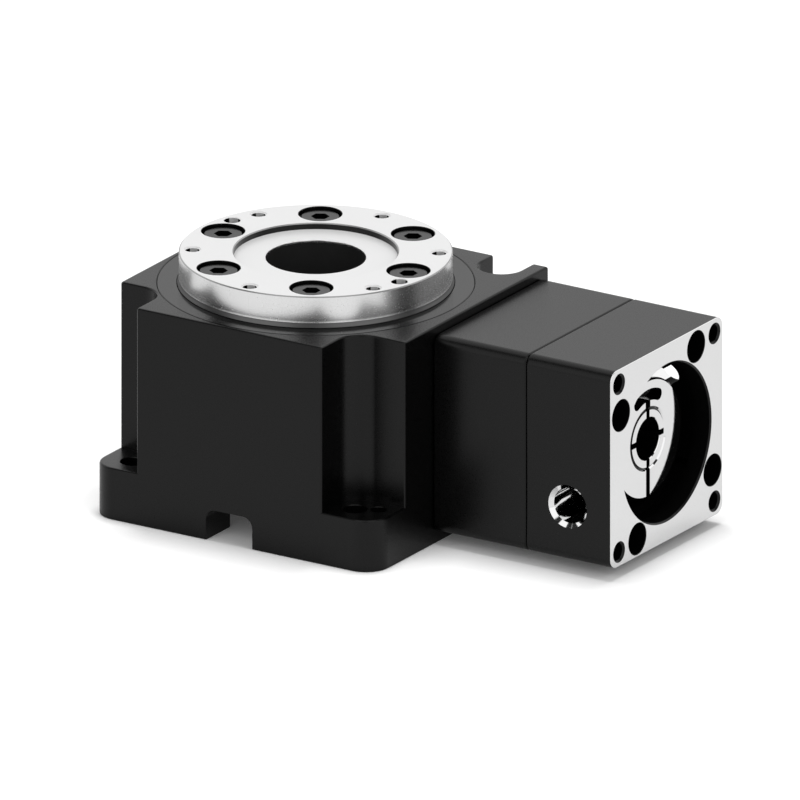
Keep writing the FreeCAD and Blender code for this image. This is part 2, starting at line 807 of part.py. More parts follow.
def make_input_housing_screws():
    """Screws through the input housing's flange into the main housing."""
    seat = cavity_start - case_screw_sink
    screw = cap_screw(case_screw)
    return on_input_axis(group([moved(screw, x, y, seat) for x, y in case_screw_places()]))


def make_motor_adapter():
    """Square motor adapter with pilot, bearing seat, spigot, face holes and access hole."""
    body = rounded_square(input_square, input_corner_radius, joint_station, motor_face, input_edge)
    body = body.fuse(tube(ring_cavity_radius - seat_gap, spigot_inner_radius,
                          joint_station - spigot_length, joint_station + overrun))
    pilot = pilot_diameter / 2
    lip_radius, seat_radius = hub_bearing_radius - ring_wall, hub_bearing_radius + seat_gap
    tail, past = joint_station - spigot_length - overrun, motor_face + overrun
    bore = turned([
        (0, tail), (spigot_inner_radius, tail), (spigot_inner_radius, joint_station),
        (lip_radius, joint_station), (lip_radius, hub_bearing_start), (seat_radius, hub_bearing_start),
        (seat_radius, hub_bearing_end), (adapter_bore_radius, hub_bearing_end),
        (adapter_bore_radius, motor_face - pilot_depth),
        (pilot + pilot_relief, motor_face - pilot_depth),
        (pilot + pilot_relief, motor_face - pilot_guide), (pilot, motor_face - pilot_guide),
        (pilot, motor_face - pilot_chamfer), (pilot + pilot_chamfer, motor_face),
        (pilot + pilot_chamfer, past), (0, past)])
    cutters = [bore]
    seat = motor_face - adapter_screw_seat
    for across, up in adapter_screw_places():
        x, y = turned_plan(across, up)
        cutters.append(cylinder(adapter_counterbore_diameter / 2, seat, past, x, y))
        cutters.append(cylinder(case_screw[0] / 2 + through_gap, joint_station - overrun,
                                seat + overrun, x, y))
    tap = tapped_hole(motor_tap_diameter / 2, motor_tap_chamfer, motor_tap_depth, motor_face)
    half = motor_hole_spacing / 2
    for x in (-half, half):
        for y in (-half, half):
            cutters.append(moved(tap, x, y))
    body = on_input_axis(body.cut(cutters))
    access = clamp_bore(access_hole_diameter / 2, -input_square, 0)
    return body.cut([access, half_turn(access)])


def clamp_bore(radius, start, end):
    """A cylinder along Y in line with the clamp screw, between two places from the input axis."""
    place = V(clamp_station, input_offset + start, input_height - clamp_screw_drop)
    return Part.makeCylinder(radius, end - start, place, V(0, 1, 0))


def half_turn(shape):
    """A copy of a shape turned by half a turn about the input axis."""
    copy = shape.copy()
    copy.rotate(V(0, input_offset, input_height), V(1, 0, 0), 180)
    return copy


def make_adapter_screws():
    """Deep screws that hold the motor adapter on the input housing."""
    screws = []
    for across, up in adapter_screw_places():
        x, y = turned_plan(across, up)
        screws.append(moved(cap_screw(case_screw), x, y, motor_face - adapter_screw_seat))
    return on_input_axis(group(screws))


def hub_bearing():
    """Outer and inner ring of the input hub's bearing."""
    return sealed_bearing(hub_journal_radius, hub_bearing_radius, hub_bearing_start, hub_bearing_width)


def make_input_seal():
    """Rubber ring behind the hub's bearing that keeps the grease in."""
    outer = hub_bearing_radius - ring_wall - seat_gap
    return on_input_axis(tube(outer, hub_journal_radius + running_gap,
                              joint_station + input_seal_gap, hub_bearing_start - input_seal_gap))


def crescent():
    """Cutter for the curved relief slot in the hub, above the bore, with round ends."""
    low, high = hub_face - hub_slit_depth, hub_face + overrun
    middle, half = (crescent_outer + crescent_inner) / 2, (crescent_outer - crescent_inner) / 2
    reach, turn = 2 * crescent_outer, crescent_span / 2 - math.degrees(half / middle)
    band = tube(crescent_outer, crescent_inner, low, high)
    slot = band.common(prism([(0, 0), polar(reach, 180 - turn), polar(reach, 180 + turn)], low, high))
    return slot.fuse([cylinder(half, low, high, *polar(middle, 180 + side * turn)) for side in (-1, 1)])


def make_input_hub():
    """Clamping hub on the motor's shaft, split at the bottom and relieved at the top."""
    start = joint_station + end_gap
    hub = turned([
        (sun_shaft_radius + seat_gap, start), (hub_journal_radius, start),
        (hub_journal_radius, hub_bearing_end), (hub_journal_radius + hub_collar, hub_bearing_end),
        (hub_journal_radius + hub_collar, hub_flange_start), (hub_radius, hub_flange_start),
        (hub_radius, hub_face - hub_edge), (hub_radius - hub_edge, hub_face),
        (collet_radius + seat_gap + collet_edge, hub_face),
        (collet_radius + seat_gap, hub_face - collet_edge), (collet_radius + seat_gap, collet_start),
        (sun_shaft_radius + seat_gap, collet_start)])
    low, high = hub_face - hub_slit_depth, hub_face + overrun
    half = hub_slit_width / 2
    split = box(collet_radius - overrun, 2 * hub_radius, -half, half, low, high)
    thin = relief_slit_width / 2
    slit = box(-crescent_inner - overrun / 2, overrun - collet_radius, -thin, thin, low, high)
    hub = on_input_axis(hub.cut([split, slit, crescent()]))
    thread, length, head, head_height = clamp_screw[:4]
    seat = -head_height + through_gap
    pocket = clamp_bore(head / 2 + through_gap, -2 * hub_radius, seat)
    threaded = clamp_bore(thread / 2 + seat_gap, seat - overrun, seat + length + end_gap)
    return hub.cut([pocket, threaded, half_turn(pocket)])


def make_clamp_screw():
    """Clamp screw across the hub's split, reached through the side of the adapter."""
    seat = -clamp_screw[3] + through_gap
    screw = cap_screw(clamp_screw)
    screw.rotate(V(0, 0, 0), V(1, 0, 0), 90)
    return moved(screw, clamp_station, input_offset + seat, input_height - clamp_screw_drop)


def make_collet_sleeve():
    """Slit sleeve inside the hub that takes the motor's shaft."""
    bore = motor_shaft_diameter / 2
    sleeve = turned([(bore, collet_start), (collet_radius, collet_start),
                     (collet_radius, hub_face - collet_edge), (collet_radius - collet_edge, hub_face),
                     (bore, hub_face)])
    half = collet_slit_width / 2
    slit = box(0, 2 * collet_radius, -half, half, hub_face - hub_slit_depth, hub_face + overrun)
    return on_input_axis(sleeve.cut(around(slit, collet_slits)))


def make_parts():
    """All nodes by name."""
    lower_outer, lower_inner = lower_bearing()
    hub_outer, hub_inner = hub_bearing()
    first = pinion_bearing(pinion_bearing_start)
    second = pinion_bearing(second_bearing_start)
    outer_spacer, inner_spacer = pinion_spacers()
    parts = {
        "main_housing": make_main_housing(),
        "bottom_cover": make_bottom_cover(),
        "bottom_cover_screws": make_cover_screws(),
        "lower_seal": make_lower_seal(),
        "lower_bearing_outer_ring": lower_outer,
        "bearing_outer_ring": make_bearing_outer_ring(),
        "bearing_retainer": make_bearing_retainer(),
        "platform_seal": make_platform_seal(),
        "pinion_bearing_outer_rings": on_input_axis(group([first[0], second[0]])),
        "pinion_outer_spacer": outer_spacer,
        "input_housing": make_input_housing(),
        "input_housing_screws": make_input_housing_screws(),
        "motor_adapter": make_motor_adapter(),
        "motor_adapter_screws": make_adapter_screws(),
        "input_bearing_outer_ring": on_input_axis(hub_outer),
        "input_seal": make_input_seal(),
        "crossed_rollers": make_crossed_rollers(),
        "roller_spacers": make_roller_spacers(),
        "output_platform": make_output_platform(),
        "platform_screws": make_platform_screws(),
        "bearing_inner_ring": make_bearing_inner_ring(),
        "crown_gear": make_crown_gear(),
        "hollow_shaft": make_hollow_shaft(),
        "lower_bearing_inner_ring": lower_inner,
        "pinion_shaft": make_pinion_shaft(),
        "pinion_bearing_inner_rings": on_input_axis(group([first[1], second[1]])),
        "pinion_inner_spacer": inner_spacer,
        "planet_carrier": make_planet_carrier(),
        "planet_pins": make_planet_pins(),
        "sun_gear": make_sun_gear(),
        "input_hub": make_input_hub(),
        "collet_sleeve": make_collet_sleeve(),
        "clamp_screw": make_clamp_screw(),
        "input_bearing_inner_ring": on_input_axis(hub_inner),
    }
    for index in range(planet_count):
        parts[f"planet_gear_{index + 1}"] = make_planet_gear(index)
    return parts


os.makedirs("parts", exist_ok=True)
for name, shape in make_parts().items():
    if not shape.isValid():
        print("not valid:", name)
    shape.exportStep(os.path.join("parts", name + ".step"))
    print(f"{name:28s} solids {len(shape.Solids):3d}  volume {shape.Volume:10.2f} mm3")
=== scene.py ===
"""Looks of a hollow rotary platform with an offset right-angle planetary input.

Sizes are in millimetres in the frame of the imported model: the platform turns about Z, the feet stand
on Z = 0 and the input runs in from +X. Meshes are scaled to metres when they become pieces.
"""

import json
import logging
import math
from collections.abc import Callable, Iterator, Sequence
from contextlib import contextmanager
from dataclasses import dataclass, field
from enum import Enum

import bmesh
import bpy
from mathutils import Matrix, Vector

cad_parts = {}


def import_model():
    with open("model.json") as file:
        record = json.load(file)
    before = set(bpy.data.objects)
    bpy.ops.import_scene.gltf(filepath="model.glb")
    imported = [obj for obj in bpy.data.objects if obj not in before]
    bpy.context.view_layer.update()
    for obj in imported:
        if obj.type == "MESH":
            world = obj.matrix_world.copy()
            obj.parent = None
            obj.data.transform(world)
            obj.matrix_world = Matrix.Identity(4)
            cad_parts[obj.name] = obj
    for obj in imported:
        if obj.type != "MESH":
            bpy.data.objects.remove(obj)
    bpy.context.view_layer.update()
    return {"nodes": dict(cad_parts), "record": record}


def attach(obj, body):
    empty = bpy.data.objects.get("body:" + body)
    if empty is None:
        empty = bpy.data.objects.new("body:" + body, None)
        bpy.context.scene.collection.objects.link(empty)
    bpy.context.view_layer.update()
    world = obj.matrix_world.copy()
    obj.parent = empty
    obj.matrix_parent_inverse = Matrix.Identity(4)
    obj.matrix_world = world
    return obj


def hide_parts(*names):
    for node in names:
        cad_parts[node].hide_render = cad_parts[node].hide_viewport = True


LOG = logging.getLogger("rotary_platform")
METRE = 0.001
MERGE = 1e-4
NEAR = 0.01
DISC_STEPS = 192
TURN_STEPS = 144
SLEEVE_STEPS = 96
BORE_STEPS = 72
HEAD_STEPS = 64
HOLE_STEPS = 48
ROD_STEPS = 32
SHARP_ANGLE = math.radians(28.0)
FLAT_ANGLE = math.radians(0.05)
INPUT_OFFSET = 9.5
INPUT_HEIGHT = 21.3

Point = tuple[float, float, float]
Plan = tuple[float, float]
Profile = Sequence[Plan]
Paint = bpy.types.Material
Edge = bmesh.types.BMEdge
Face = bmesh.types.BMFace
BMesh = bmesh.types.BMesh


class Slot(Enum):
    """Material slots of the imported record."""

    BLACK = "black_anodised_aluminium"
    BRIGHT = "bright_steel"
    BEARING = "bearing_steel"
    GEAR = "gear_steel"
    OXIDE = "black_oxide_steel"
    RUBBER = "seal_rubber"
    PLASTIC = "spacer_plastic"


class Joining(Enum):
    """How two solids are put together."""

    CUT = "DIFFERENCE"
    FUSE = "UNION"


class Outline(Enum):
    """Turned outlines as radius and height, or as radius and station on the input axis."""

    CAVITY = (
        (0, -1), (22.1, -1), (22.1, 0), (21.9, 0.2), (21.9, 10.2), (15.62, 10.2), (15.62, 14.0),
        (23.6, 14.0), (23.6, 34.0), (27.52, 34.0), (27.52, 41.0), (29.03, 41.0), (29.03, 41.85),
        (29.18, 42.0), (29.18, 43.0), (0, 43.0),
    )
    PINION_BORE = ((0, 14.0), (6.8, 14.0), (6.8, 25.3), (8.02, 25.3), (8.02, 32.35), (0, 32.35))
    RETAINER = ((25.3, 40.0), (27.5, 40.0), (27.5, 41.0), (29.0, 41.0), (29.0, 42.0), (25.3, 42.0))
    COVER = (
        (12.02, 6.2), (21.88, 6.2), (21.88, 10.2), (15.6, 10.2), (15.6, 14.2), (13.52, 14.2),
        (13.52, 10.2), (11.22, 10.2), (11.22, 9.3), (12.02, 9.3),
    )
    DISC = (
        (9.15, 46.3), (9.15, 46.8), (15.0, 46.8), (15.0, 48.0), (25.0, 48.0), (25.0, 43.38),
        (25.03, 42.93), (25.12, 42.53), (25.28, 42.2), (25.3, 42.08), (23.2, 42.08), (23.2, 40.0),
        (10.62, 40.0), (10.62, 46.3),
    )
    SINK = (
        (0, 39.0), (2.15, 39.0), (2.15, 43.35), (4.0, 43.35), (4.0, 47.92), (4.08, 48.0), (4.08, 49.0),
        (0, 49.0),
    )
    SHAFT = ((9.15, 6.5), (10.0, 6.5), (10.0, 14.2), (10.6, 14.2), (10.6, 46.3), (9.15, 46.3))
    SPIGOT = ((13.0, 48.38), (15.28, 48.38), (15.28, 52.0), (13.0, 52.0))
    ADAPTER_BORE = (
        (0, 47.4), (13.0, 47.4), (13.0, 51.38), (11.8, 51.38), (11.8, 52.18), (13.02, 52.18),
        (13.02, 56.18), (13.8, 56.18), (13.8, 63.23), (15.6, 63.23), (15.6, 66.23), (15.0, 66.23),
        (15.0, 69.43), (15.3, 69.73), (15.3, 70.73), (0, 70.73),
    )
    HUB = (
        (3.02, 51.68), (8.5, 51.68), (8.5, 56.18), (9.5, 56.18), (9.5, 56.78), (11.4, 56.78),
        (11.4, 65.33), (11.05, 65.68), (6.1, 65.68), (5.82, 65.4), (5.82, 55.88), (3.02, 55.88),
    )
    SLEEVE = ((4.0, 55.88), (5.8, 55.88), (5.8, 65.33), (5.45, 65.68), (4.12, 65.68), (4.0, 65.56))


class Wire:
    """A shader socket that takes part in Python expressions."""

    def __init__(self, painter: "Painter", socket: bpy.types.NodeSocket) -> None:
        """Keep the socket and the painter that owns its tree."""
        self.painter = painter
        self.socket = socket

    def _maths(self, operation: str, first: "Wire | float", second: "Wire | float" = 0.0) -> "Wire":
        """Result of one Math node, by Blender's name of the operation."""
        return self.painter.node("ShaderNodeMath", {"operation": operation}, {0: first, 1: second})

    def __add__(self, other: "Wire | float") -> "Wire":
        """Sum of two values."""
        return self._maths("ADD", self, other)

    def __radd__(self, other: float) -> "Wire":
        """Sum with the number on the left."""
        return self._maths("ADD", other, self)

    def __sub__(self, other: "Wire | float") -> "Wire":
        """Difference of two values."""
        return self._maths("SUBTRACT", self, other)

    def __rsub__(self, other: float) -> "Wire":
        """Difference with the number on the left."""
        return self._maths("SUBTRACT", other, self)

    def __mul__(self, other: "Wire | float") -> "Wire":
        """Product of two values."""
        return self._maths("MULTIPLY", self, other)

    def __rmul__(self, other: float) -> "Wire":
        """Product with the number on the left."""
        return self._maths("MULTIPLY", other, self)

    def wave(self) -> "Wire":
        """Sine of the value."""
        return self._maths("SINE", self)

    def ramp(self, low: float, high: float) -> "Wire":
        """Smooth step that is 0 at the low value and 1 at the high one."""
        inputs = {"Value": self, "From Min": low, "From Max": high}
        return self.painter.node("ShaderNodeMapRange", {"interpolation_type": "SMOOTHSTEP"}, inputs)


class Painter:
    """Builds the node tree of one material or world."""

    def __init__(
        self, owner: Paint | bpy.types.World, output: str = "ShaderNodeOutputMaterial"
    ) -> None:
        """Start with an empty tree.

        Args:
            owner: Material or world that is painted.
            output: Blender's type name of its output node.
        """
        self.owner = owner
        owner.use_nodes = True
        self.tree = owner.node_tree
        self.tree.nodes.clear()
        self.output = self.tree.nodes.new(output)

    @classmethod
    def of_material(cls, name: str) -> "Painter":
        """Painter of a new material."""
        return cls(bpy.data.materials.new(name))

    def node(
        self, kind: str, settings: dict | None = None, inputs: dict | None = None, output: int | str = 0
    ) -> Wire:
        """Add a node.

        Args:
            kind: Blender's type name of the node.
            settings: Attributes that are set first.
            inputs: Values or wires by socket name or number.
            output: Name or number of the output that is wanted.

        Returns:
            That output.
        """
        made = self.tree.nodes.new(kind)
        for key, value in (settings or {}).items():
            setattr(made, key, value)
        for key, value in (inputs or {}).items():
            if isinstance(value, Wire):
                self.tree.links.new(value.socket, made.inputs[key])
            else:
                made.inputs[key].default_value = value
        return Wire(self, made.outputs[output])

    def place(self) -> Wire:
        """Object coordinates, in metres in the model's frame."""
        return self.node("ShaderNodeTexCoord", output="Object")

    def ray(self, kind: str) -> Wire:
        """Whether the ray is of a kind, such as Camera."""
        return self.node("ShaderNodeLightPath", output=f"Is {kind} Ray")

    def vector(self, operation: str, inputs: dict, output: str = "Vector") -> Wire:
        """Result of one Vector Math node, by Blender's name of the operation."""
        return self.node("ShaderNodeVectorMath", {"operation": operation}, inputs, output)

    def noise(self, scale: float, detail: float = 2.0) -> Wire:
        """Fractal noise around 0.5, with so many cells in each metre and so many finer layers."""
        inputs = {"Vector": self.place(), "Scale": scale, "Detail": detail}
        return self.node("ShaderNodeTexNoise", inputs=inputs)

    def blend(self, factor: Wire, first: Point, second: Point) -> Wire:
        """Mix of the colour at 0 and the colour at 1."""
        inputs = {"Factor": factor, 6: (*first, 1.0), 7: (*second, 1.0)}
        return self.node("ShaderNodeMix", {"data_type": "RGBA"}, inputs, 2)

    def bump(self, height: Wire, distance: float, strength: float) -> Wire:
        """Normal of a relief so many metres deep, with a share of its effect."""
        inputs = {"Height": height, "Distance": distance, "Strength": strength}
        return self.node("ShaderNodeBump", inputs=inputs)

    def close(self, shader: Wire) -> Paint | bpy.types.World:
        """Join the shader to the output and give back what was painted."""
        self.tree.links.new(shader.socket, self.output.inputs["Surface"])
        return self.owner

    def principled(self, sockets: dict) -> Paint:
        """The finished material with one Principled surface."""
        return self.close(self.node("ShaderNodeBsdfPrincipled", inputs=sockets))


def grey(level: float) -> Point:
    """A neutral colour."""
    return level, level, level


@dataclass(frozen=True)
class Grained:
    """A surface with soft changes of tone and a fine grain, by default oiled steel."""

    colour: Point = (0.42, 0.42, 0.43)
    dull: Point = (0.34, 0.34, 0.35)
    metallic: float = 1.0
    specular: float = 0.5
    roughness: float = 0.28
    spread: float = 0.12
    cloud_scale: float = 270.0
    cloud_detail: float = 3.0
    grain_scale: float = 2700.0
    depth: float = 0.000006
    strength: float = 0.25

    def paint(self, name: str) -> Paint:
        """Make the material.

        Args:
            name: Name of the material.

        Returns:
            The finished material.
        """
        painter = Painter.of_material(name)
        cloud = painter.noise(self.cloud_scale, self.cloud_detail)
        grain = painter.noise(self.grain_scale)
        return painter.principled({
            "Base Color": painter.blend(cloud, self.colour, self.dull),
            "Metallic": self.metallic,
            "Roughness": self.roughness + self.spread * grain,
            "Specular IOR Level": self.specular,
            "Normal": painter.bump(grain, self.depth, self.strength),
        })


@dataclass(frozen=True)
class BlastedBlack(Grained):
    """Black anodised aluminium with a fine blasted grain."""

    colour: Point = grey(0.0006)
    dull: Point = grey(0.0011)
    metallic: float = 0.0
    specular: float = 0.285
    roughness: float = 0.25
    spread: float = 0.06
    cloud_scale: float = 140.0
    grain_scale: float = 5200.0
    depth: float = 0.000012
    strength: float = 0.35


@dataclass(frozen=True)
class Moulded(Grained):
    """Moulded rubber or plastic with a matt skin."""

    colour: Point = grey(0.018)
    dull: Point = grey(0.026)
    metallic: float = 0.0
    roughness: float = 0.55
    spread: float = 0.15
    cloud_scale: float = 260.0
    cloud_detail: float = 4.0
    grain_scale: float = 2400.0
    depth: float = 0.00001
    strength: float = 0.3


@dataclass(frozen=True)
class TurnedMetal:
    """Bare metal with fine concentric tool marks about one axis."""

    colour: Point = grey(0.95)
    dull: Point = grey(0.93)
    roughness: float = 0.16
    spread: float = 0.05
    pitch: float = 0.00022
    mark_share: float = 0.7
    cloud_scale: float = 90.0
    speck_scale: float = 3600.0
    depth: float = 0.000002
    strength: float = 0.30
    metallic: float = 1.0
    centre: Point = (0.0, 0.0, 0.0)
    flat: Point = (1.0, 1.0, 0.0)

    def paint(self, name: str) -> Paint:
        """Make the material.

        Args:
            name: Name of the material.

        Returns:
            The finished material.
        """
        painter = Painter.of_material(name)
        moved = painter.vector("SUBTRACT", {0: painter.place(), 1: self.centre})
        flat = painter.vector("MULTIPLY", {0: moved, 1: self.flat})
        radius = painter.vector("LENGTH", {0: flat}, "Value")
        marks = (radius * (2 * math.pi / self.pitch)).wave() * 0.5 + 0.5
        speck = painter.noise(self.speck_scale)
        relief = marks * self.mark_share + speck * (1 - self.mark_share)
        return painter.principled({
            "Base Color": painter.blend(painter.noise(self.cloud_scale, 3.0), self.colour, self.dull),
            "Metallic": self.metallic,
            "Roughness": self.roughness + self.spread * speck,
            "Normal": painter.bump(relief, self.depth, self.strength),
        })


@dataclass(frozen=True)
class InputTurned(TurnedMetal):
    """Bare metal with tool marks about the input axis."""

    centre: Point = (0.0, INPUT_OFFSET * METRE, INPUT_HEIGHT * METRE)
    flat: Point = (0.0, 1.0, 1.0)


def painted(name: str, look: Grained | TurnedMetal) -> Paint:
    """Field of a finish that is painted when the finishes are made."""
    return field(default_factory=lambda: look.paint(name))


@dataclass
class Finishes:
    """The finishes of the whole object."""

    black: Paint = painted("blasted_black", BlastedBlack())
    ring: Paint = painted("turned_black", BlastedBlack(roughness=0.13, spread=0.04))
    bright: Paint = painted("turned_disc", TurnedMetal(roughness=0.24, depth=0.0000003))
    # Dark grey copy of the turned metal for the disc's flared foot: a painted dark reflection of the black
    # housing top.
    painted_reflection_flare: Paint = painted(
        "flare_painted_dark_reflection", TurnedMetal(colour=grey(0.16), dull=grey(0.14), roughness=0.35)
    )
    # Near-black paint with almost no reflection for hole walls, bores and screw sockets: painted shade in
    # place of the shadow inside them.
    painted_shade: Paint = painted(
        "unlit_bore",
        Grained(colour=grey(0.0010), dull=grey(0.0014), metallic=0.0, specular=0.03, roughness=0.45),
    )
    satin: Paint = painted(
        "satin_top",
        TurnedMetal(colour=grey(0.70), dull=grey(0.68), metallic=0.2, roughness=0.30, depth=0.000004),
    )
    # Darker grey copy of the turned metal for the disc's chamfers: a painted dark reflection line. Only the
    # higher roughness belongs to the chamfer itself.
    edge: Paint = painted(
        "chamfer_painted_dark_reflection", TurnedMetal(colour=grey(0.42), dull=grey(0.36), roughness=0.30)
    )
    tube: Paint = painted(
        "blackened_tube",
        Grained(colour=grey(0.016), dull=grey(0.024), metallic=0.0, specular=0.35, roughness=0.30),
    )
    face: Paint = painted("turned_face", InputTurned(spread=0.03))
    hub: Paint = painted(
        "turned_hub", InputTurned(roughness=0.03, spread=0.02, depth=0.000001)
    )
    bare: Paint = painted(
        "bored_metal", TurnedMetal(roughness=0.06, spread=0.03, depth=0.000001, pitch=0.0004)
    )
    oxide: Paint = painted("black_oxide", Grained(
        colour=(0.0036, 0.0036, 0.0037), dull=(0.0052, 0.0052, 0.0053), metallic=0.0, specular=0.26,
        roughness=0.14, spread=0.05,
    ))
    gear: Paint = painted("oiled_gear_steel", Grained())
    bearing: Paint = painted(
        "ground_steel", Grained(colour=(0.62, 0.62, 0.63), dull=(0.55, 0.55, 0.56), roughness=0.14)
    )
    rubber: Paint = painted("seal_rubber", Moulded())
    plastic: Paint = painted(
        "moulded_nylon", Moulded(colour=(0.62, 0.58, 0.48), dull=(0.68, 0.64, 0.54), roughness=0.4)
    )


def low_end(edge: Edge) -> float:
    """Height of an edge's lower end."""
    return min(vert.co.z for vert in edge.verts)


def high_end(edge: Edge) -> float:
    """Height of an edge's upper end."""
    return max(vert.co.z for vert in edge.verts)


def upright(edge: Edge) -> bool:
    """Whether an edge rises by more than a millimetre."""
    return high_end(edge) - low_end(edge) > 1


def height_of(face: Face) -> float:
    """Height of a face's middle."""
    return face.calc_center_median().z


def reach_of(face: Face) -> float:
    """Distance of a face's middle from the Z axis."""
    return face.calc_center_median().xy.length


def is_wall(face: Face) -> bool:
    """Whether a face stands upright."""
    return abs(face.normal.z) < 0.1


def polar(radius: float, turn: float) -> Plan:
    """Plan point at a radius and an angle in radians."""
    return radius * math.cos(turn), radius * math.sin(turn)


def turns_about_z(count: int, first: float = 0.0) -> list[Matrix]:
    """So many equal turns about Z, from an angle in degrees on."""
    return [Matrix.Rotation(math.radians(first + 360.0 * index / count), 4, "Z") for index in range(count)]


def linked(name: str, data: bpy.types.ID) -> bpy.types.Object:
    """A new object in the scene's collection, with its mesh, lamp or camera."""
    made = bpy.data.objects.new(name, data)
    bpy.context.scene.collection.objects.link(made)
    return made


def mesh_from(bm: BMesh, name: str, finish: Paint) -> bpy.types.Mesh:
    """Turn a bmesh into a mesh and free it.

    Args:
        bm: The bmesh.
        name: Name of the mesh.
        finish: Material of all its faces.

    Returns:
        The mesh.
    """
    mesh = bpy.data.meshes.new(name)
    mesh.materials.append(finish)
    bm.to_mesh(mesh)
    bm.free()
    return mesh


class Solid:
    """A closed mesh in millimetres that operators shape."""

    def __init__(self, mesh: bpy.types.Mesh) -> None:
        """Take over a mesh."""
        self.mesh = mesh

    @classmethod
    def block(cls, low: Point, high: Point, finish: Paint) -> "Solid":
        """A block between two corners.

        Args:
            low: Lowest corner.
            high: Highest corner.
            finish: Its material.

        Returns:
            The block.
        """
        bm = bmesh.new()
        bmesh.ops.create_cube(bm, size=1.0)
        bmesh.ops.scale(bm, vec=Vector(high) - Vector(low), verts=bm.verts)
        bmesh.ops.translate(bm, vec=(Vector(high) + Vector(low)) / 2, verts=bm.verts)
        return cls(mesh_from(bm, "solid", finish))

    @classmethod
    def turned(cls, profile: Profile, finish: Paint, steps: int = TURN_STEPS) -> "Solid":
        """A closed outline spun about Z.

        Args:
            profile: Points as radius and height.
            finish: Its material.
            steps: Number of steps in the full turn.

        Returns:
            The solid.
        """
        bm = bmesh.new()
        chain = [bm.verts.new((radius, 0.0, height)) for radius, height in profile]
        for first, second in zip(chain, chain[1:] + chain[:1]):
            if max(first.co.x, second.co.x) > 1e-6:
                bm.edges.new((first, second))
        bmesh.ops.spin(
            bm, geom=list(bm.verts) + list(bm.edges), cent=(0, 0, 0), axis=(0, 0, 1),
            angle=2 * math.pi, steps=steps, use_merge=True, use_duplicate=False,
        )
        bmesh.ops.remove_doubles(bm, verts=bm.verts, dist=MERGE)
        bmesh.ops.recalc_face_normals(bm, faces=bm.faces)
        return cls(mesh_from(bm, "solid", finish))

    @classmethod
    def rod(
        cls, radius: float, low: float, high: float, finish: Paint, steps: int = ROD_STEPS
    ) -> "Solid":
        """A plain round rod about Z."""
        return cls.turned([(0, low), (radius, low), (radius, high), (0, high)], finish, steps)

    @classmethod
    def slab(cls, outline: Profile, low: float, high: float, finish: Paint) -> "Solid":
        """An upright plate with a closed outline.

        Args:
            outline: Corners of the plan.
            low: Height of its foot.
            high: Height of its top.
            finish: Its material.

        Returns:
            The plate.
        """
        bm = bmesh.new()
        bm.faces.new([bm.verts.new((x, y, low)) for x, y in outline])
        made = bmesh.ops.extrude_face_region(bm, geom=list(bm.faces))
        raised = [item for item in made["geom"] if isinstance(item, bmesh.types.BMVert)]
        bmesh.ops.translate(bm, vec=(0, 0, high - low), verts=raised)
        bmesh.ops.recalc_face_normals(bm, faces=bm.faces)
        return cls(mesh_from(bm, "solid", finish))

    @contextmanager
    def editing(self) -> Iterator[BMesh]:
        """The mesh open for operators."""
        bm = bmesh.new()
        bm.from_mesh(self.mesh)
        yield bm
        bm.to_mesh(self.mesh)
        bm.free()

    def moved(self, matrix: Matrix) -> "Solid":
        """A copy in another place."""
        twin = Solid(self.mesh.copy())
        twin.mesh.transform(matrix)
        return twin

    def shifted(self, x: float = 0.0, y: float = 0.0, z: float = 0.0) -> "Solid":
        """A copy moved along the axes."""
        return self.moved(Matrix.Translation((x, y, z)))

    def spread(self, count: int, first: float = 0.0) -> list["Solid"]:
        """So many copies about Z, from an angle in degrees on."""
        return [self.moved(turn) for turn in turns_about_z(count, first)]

    @staticmethod
    def together(solids: list["Solid"]) -> "Solid":
        """The first solid with the others added to it, without joining their faces."""
        with solids[0].editing() as bm:
            for other in solids[1:]:
                bm.from_mesh(other.mesh)
        return solids[0]

    def combine(self, how: Joining, others: list["Solid"]) -> "Solid":
        """Cut or fuse other solids, one after another, keeping each one's finish.

        Args:
            how: Cut or fuse.
            others: The other solids.

        Returns:
            This solid.
        """
        body = linked("body", self.mesh)
        tools = []
        for other in others:
            tool = linked("tool", other.mesh)
            tools.append(tool)
            step = body.modifiers.new("join", "BOOLEAN")
            step.operation = how.value
            step.solver = "EXACT"
            step.material_mode = "TRANSFER"
            step.object = tool
        graph = bpy.context.evaluated_depsgraph_get()
        self.mesh = bpy.data.meshes.new_from_object(body.evaluated_get(graph))
        for item in [body, *tools]:
            bpy.data.objects.remove(item)
        return self

    def cut(self, *others: "Solid") -> "Solid":
        """Cut other solids away."""
        return self.combine(Joining.CUT, list(others))

    def fuse(self, *others: "Solid") -> "Solid":
        """Fuse other solids on."""
        return self.combine(Joining.FUSE, list(others))

    def flatten(self) -> None:
        """Merge doubles and dissolve lines across flat faces."""
        with self.editing() as bm:
            bmesh.ops.remove_doubles(bm, verts=bm.verts, dist=MERGE)
            bmesh.ops.dissolve_limit(
                bm, angle_limit=FLAT_ANGLE, use_dissolve_boundaries=False,
                verts=bm.verts, edges=bm.edges, delimit={"MATERIAL"},
            )

    def round_edges(self, width: float, where: Callable[[Edge], bool], segments: int = 3) -> "Solid":
        """Round the outward edges that pass a test.

        Args:
            width: Width of the rounding on each face.
            where: Test of an edge.
            segments: Number of facets across it.

        Returns:
            This solid.
        """
        with self.editing() as bm:
            bm.normal_update()
            sharp = [
                edge for edge in bm.edges
                if len(edge.link_faces) == 2 and edge.calc_face_angle_signed(0.0) > SHARP_ANGLE
                and where(edge)
            ]
            bmesh.ops.bevel(
                bm, geom=sharp, offset=width, offset_type="OFFSET", segments=segments, profile=0.5,
                affect="EDGES", clamp_overlap=True, material=-1, loop_slide=True,
            )
        return self

    def repaint(self, finish: Paint, where: Callable[[Face], bool]) -> None:
        """Give the faces that pass a test another finish.

        Args:
            finish: Their material.
            where: Test of a face.
        """
        if finish.name not in self.mesh.materials:
            self.mesh.materials.append(finish)
        index = self.mesh.materials.find(finish.name)
        with self.editing() as bm:
            for face in bm.faces:
                if where(face):
                    face.material_index = index

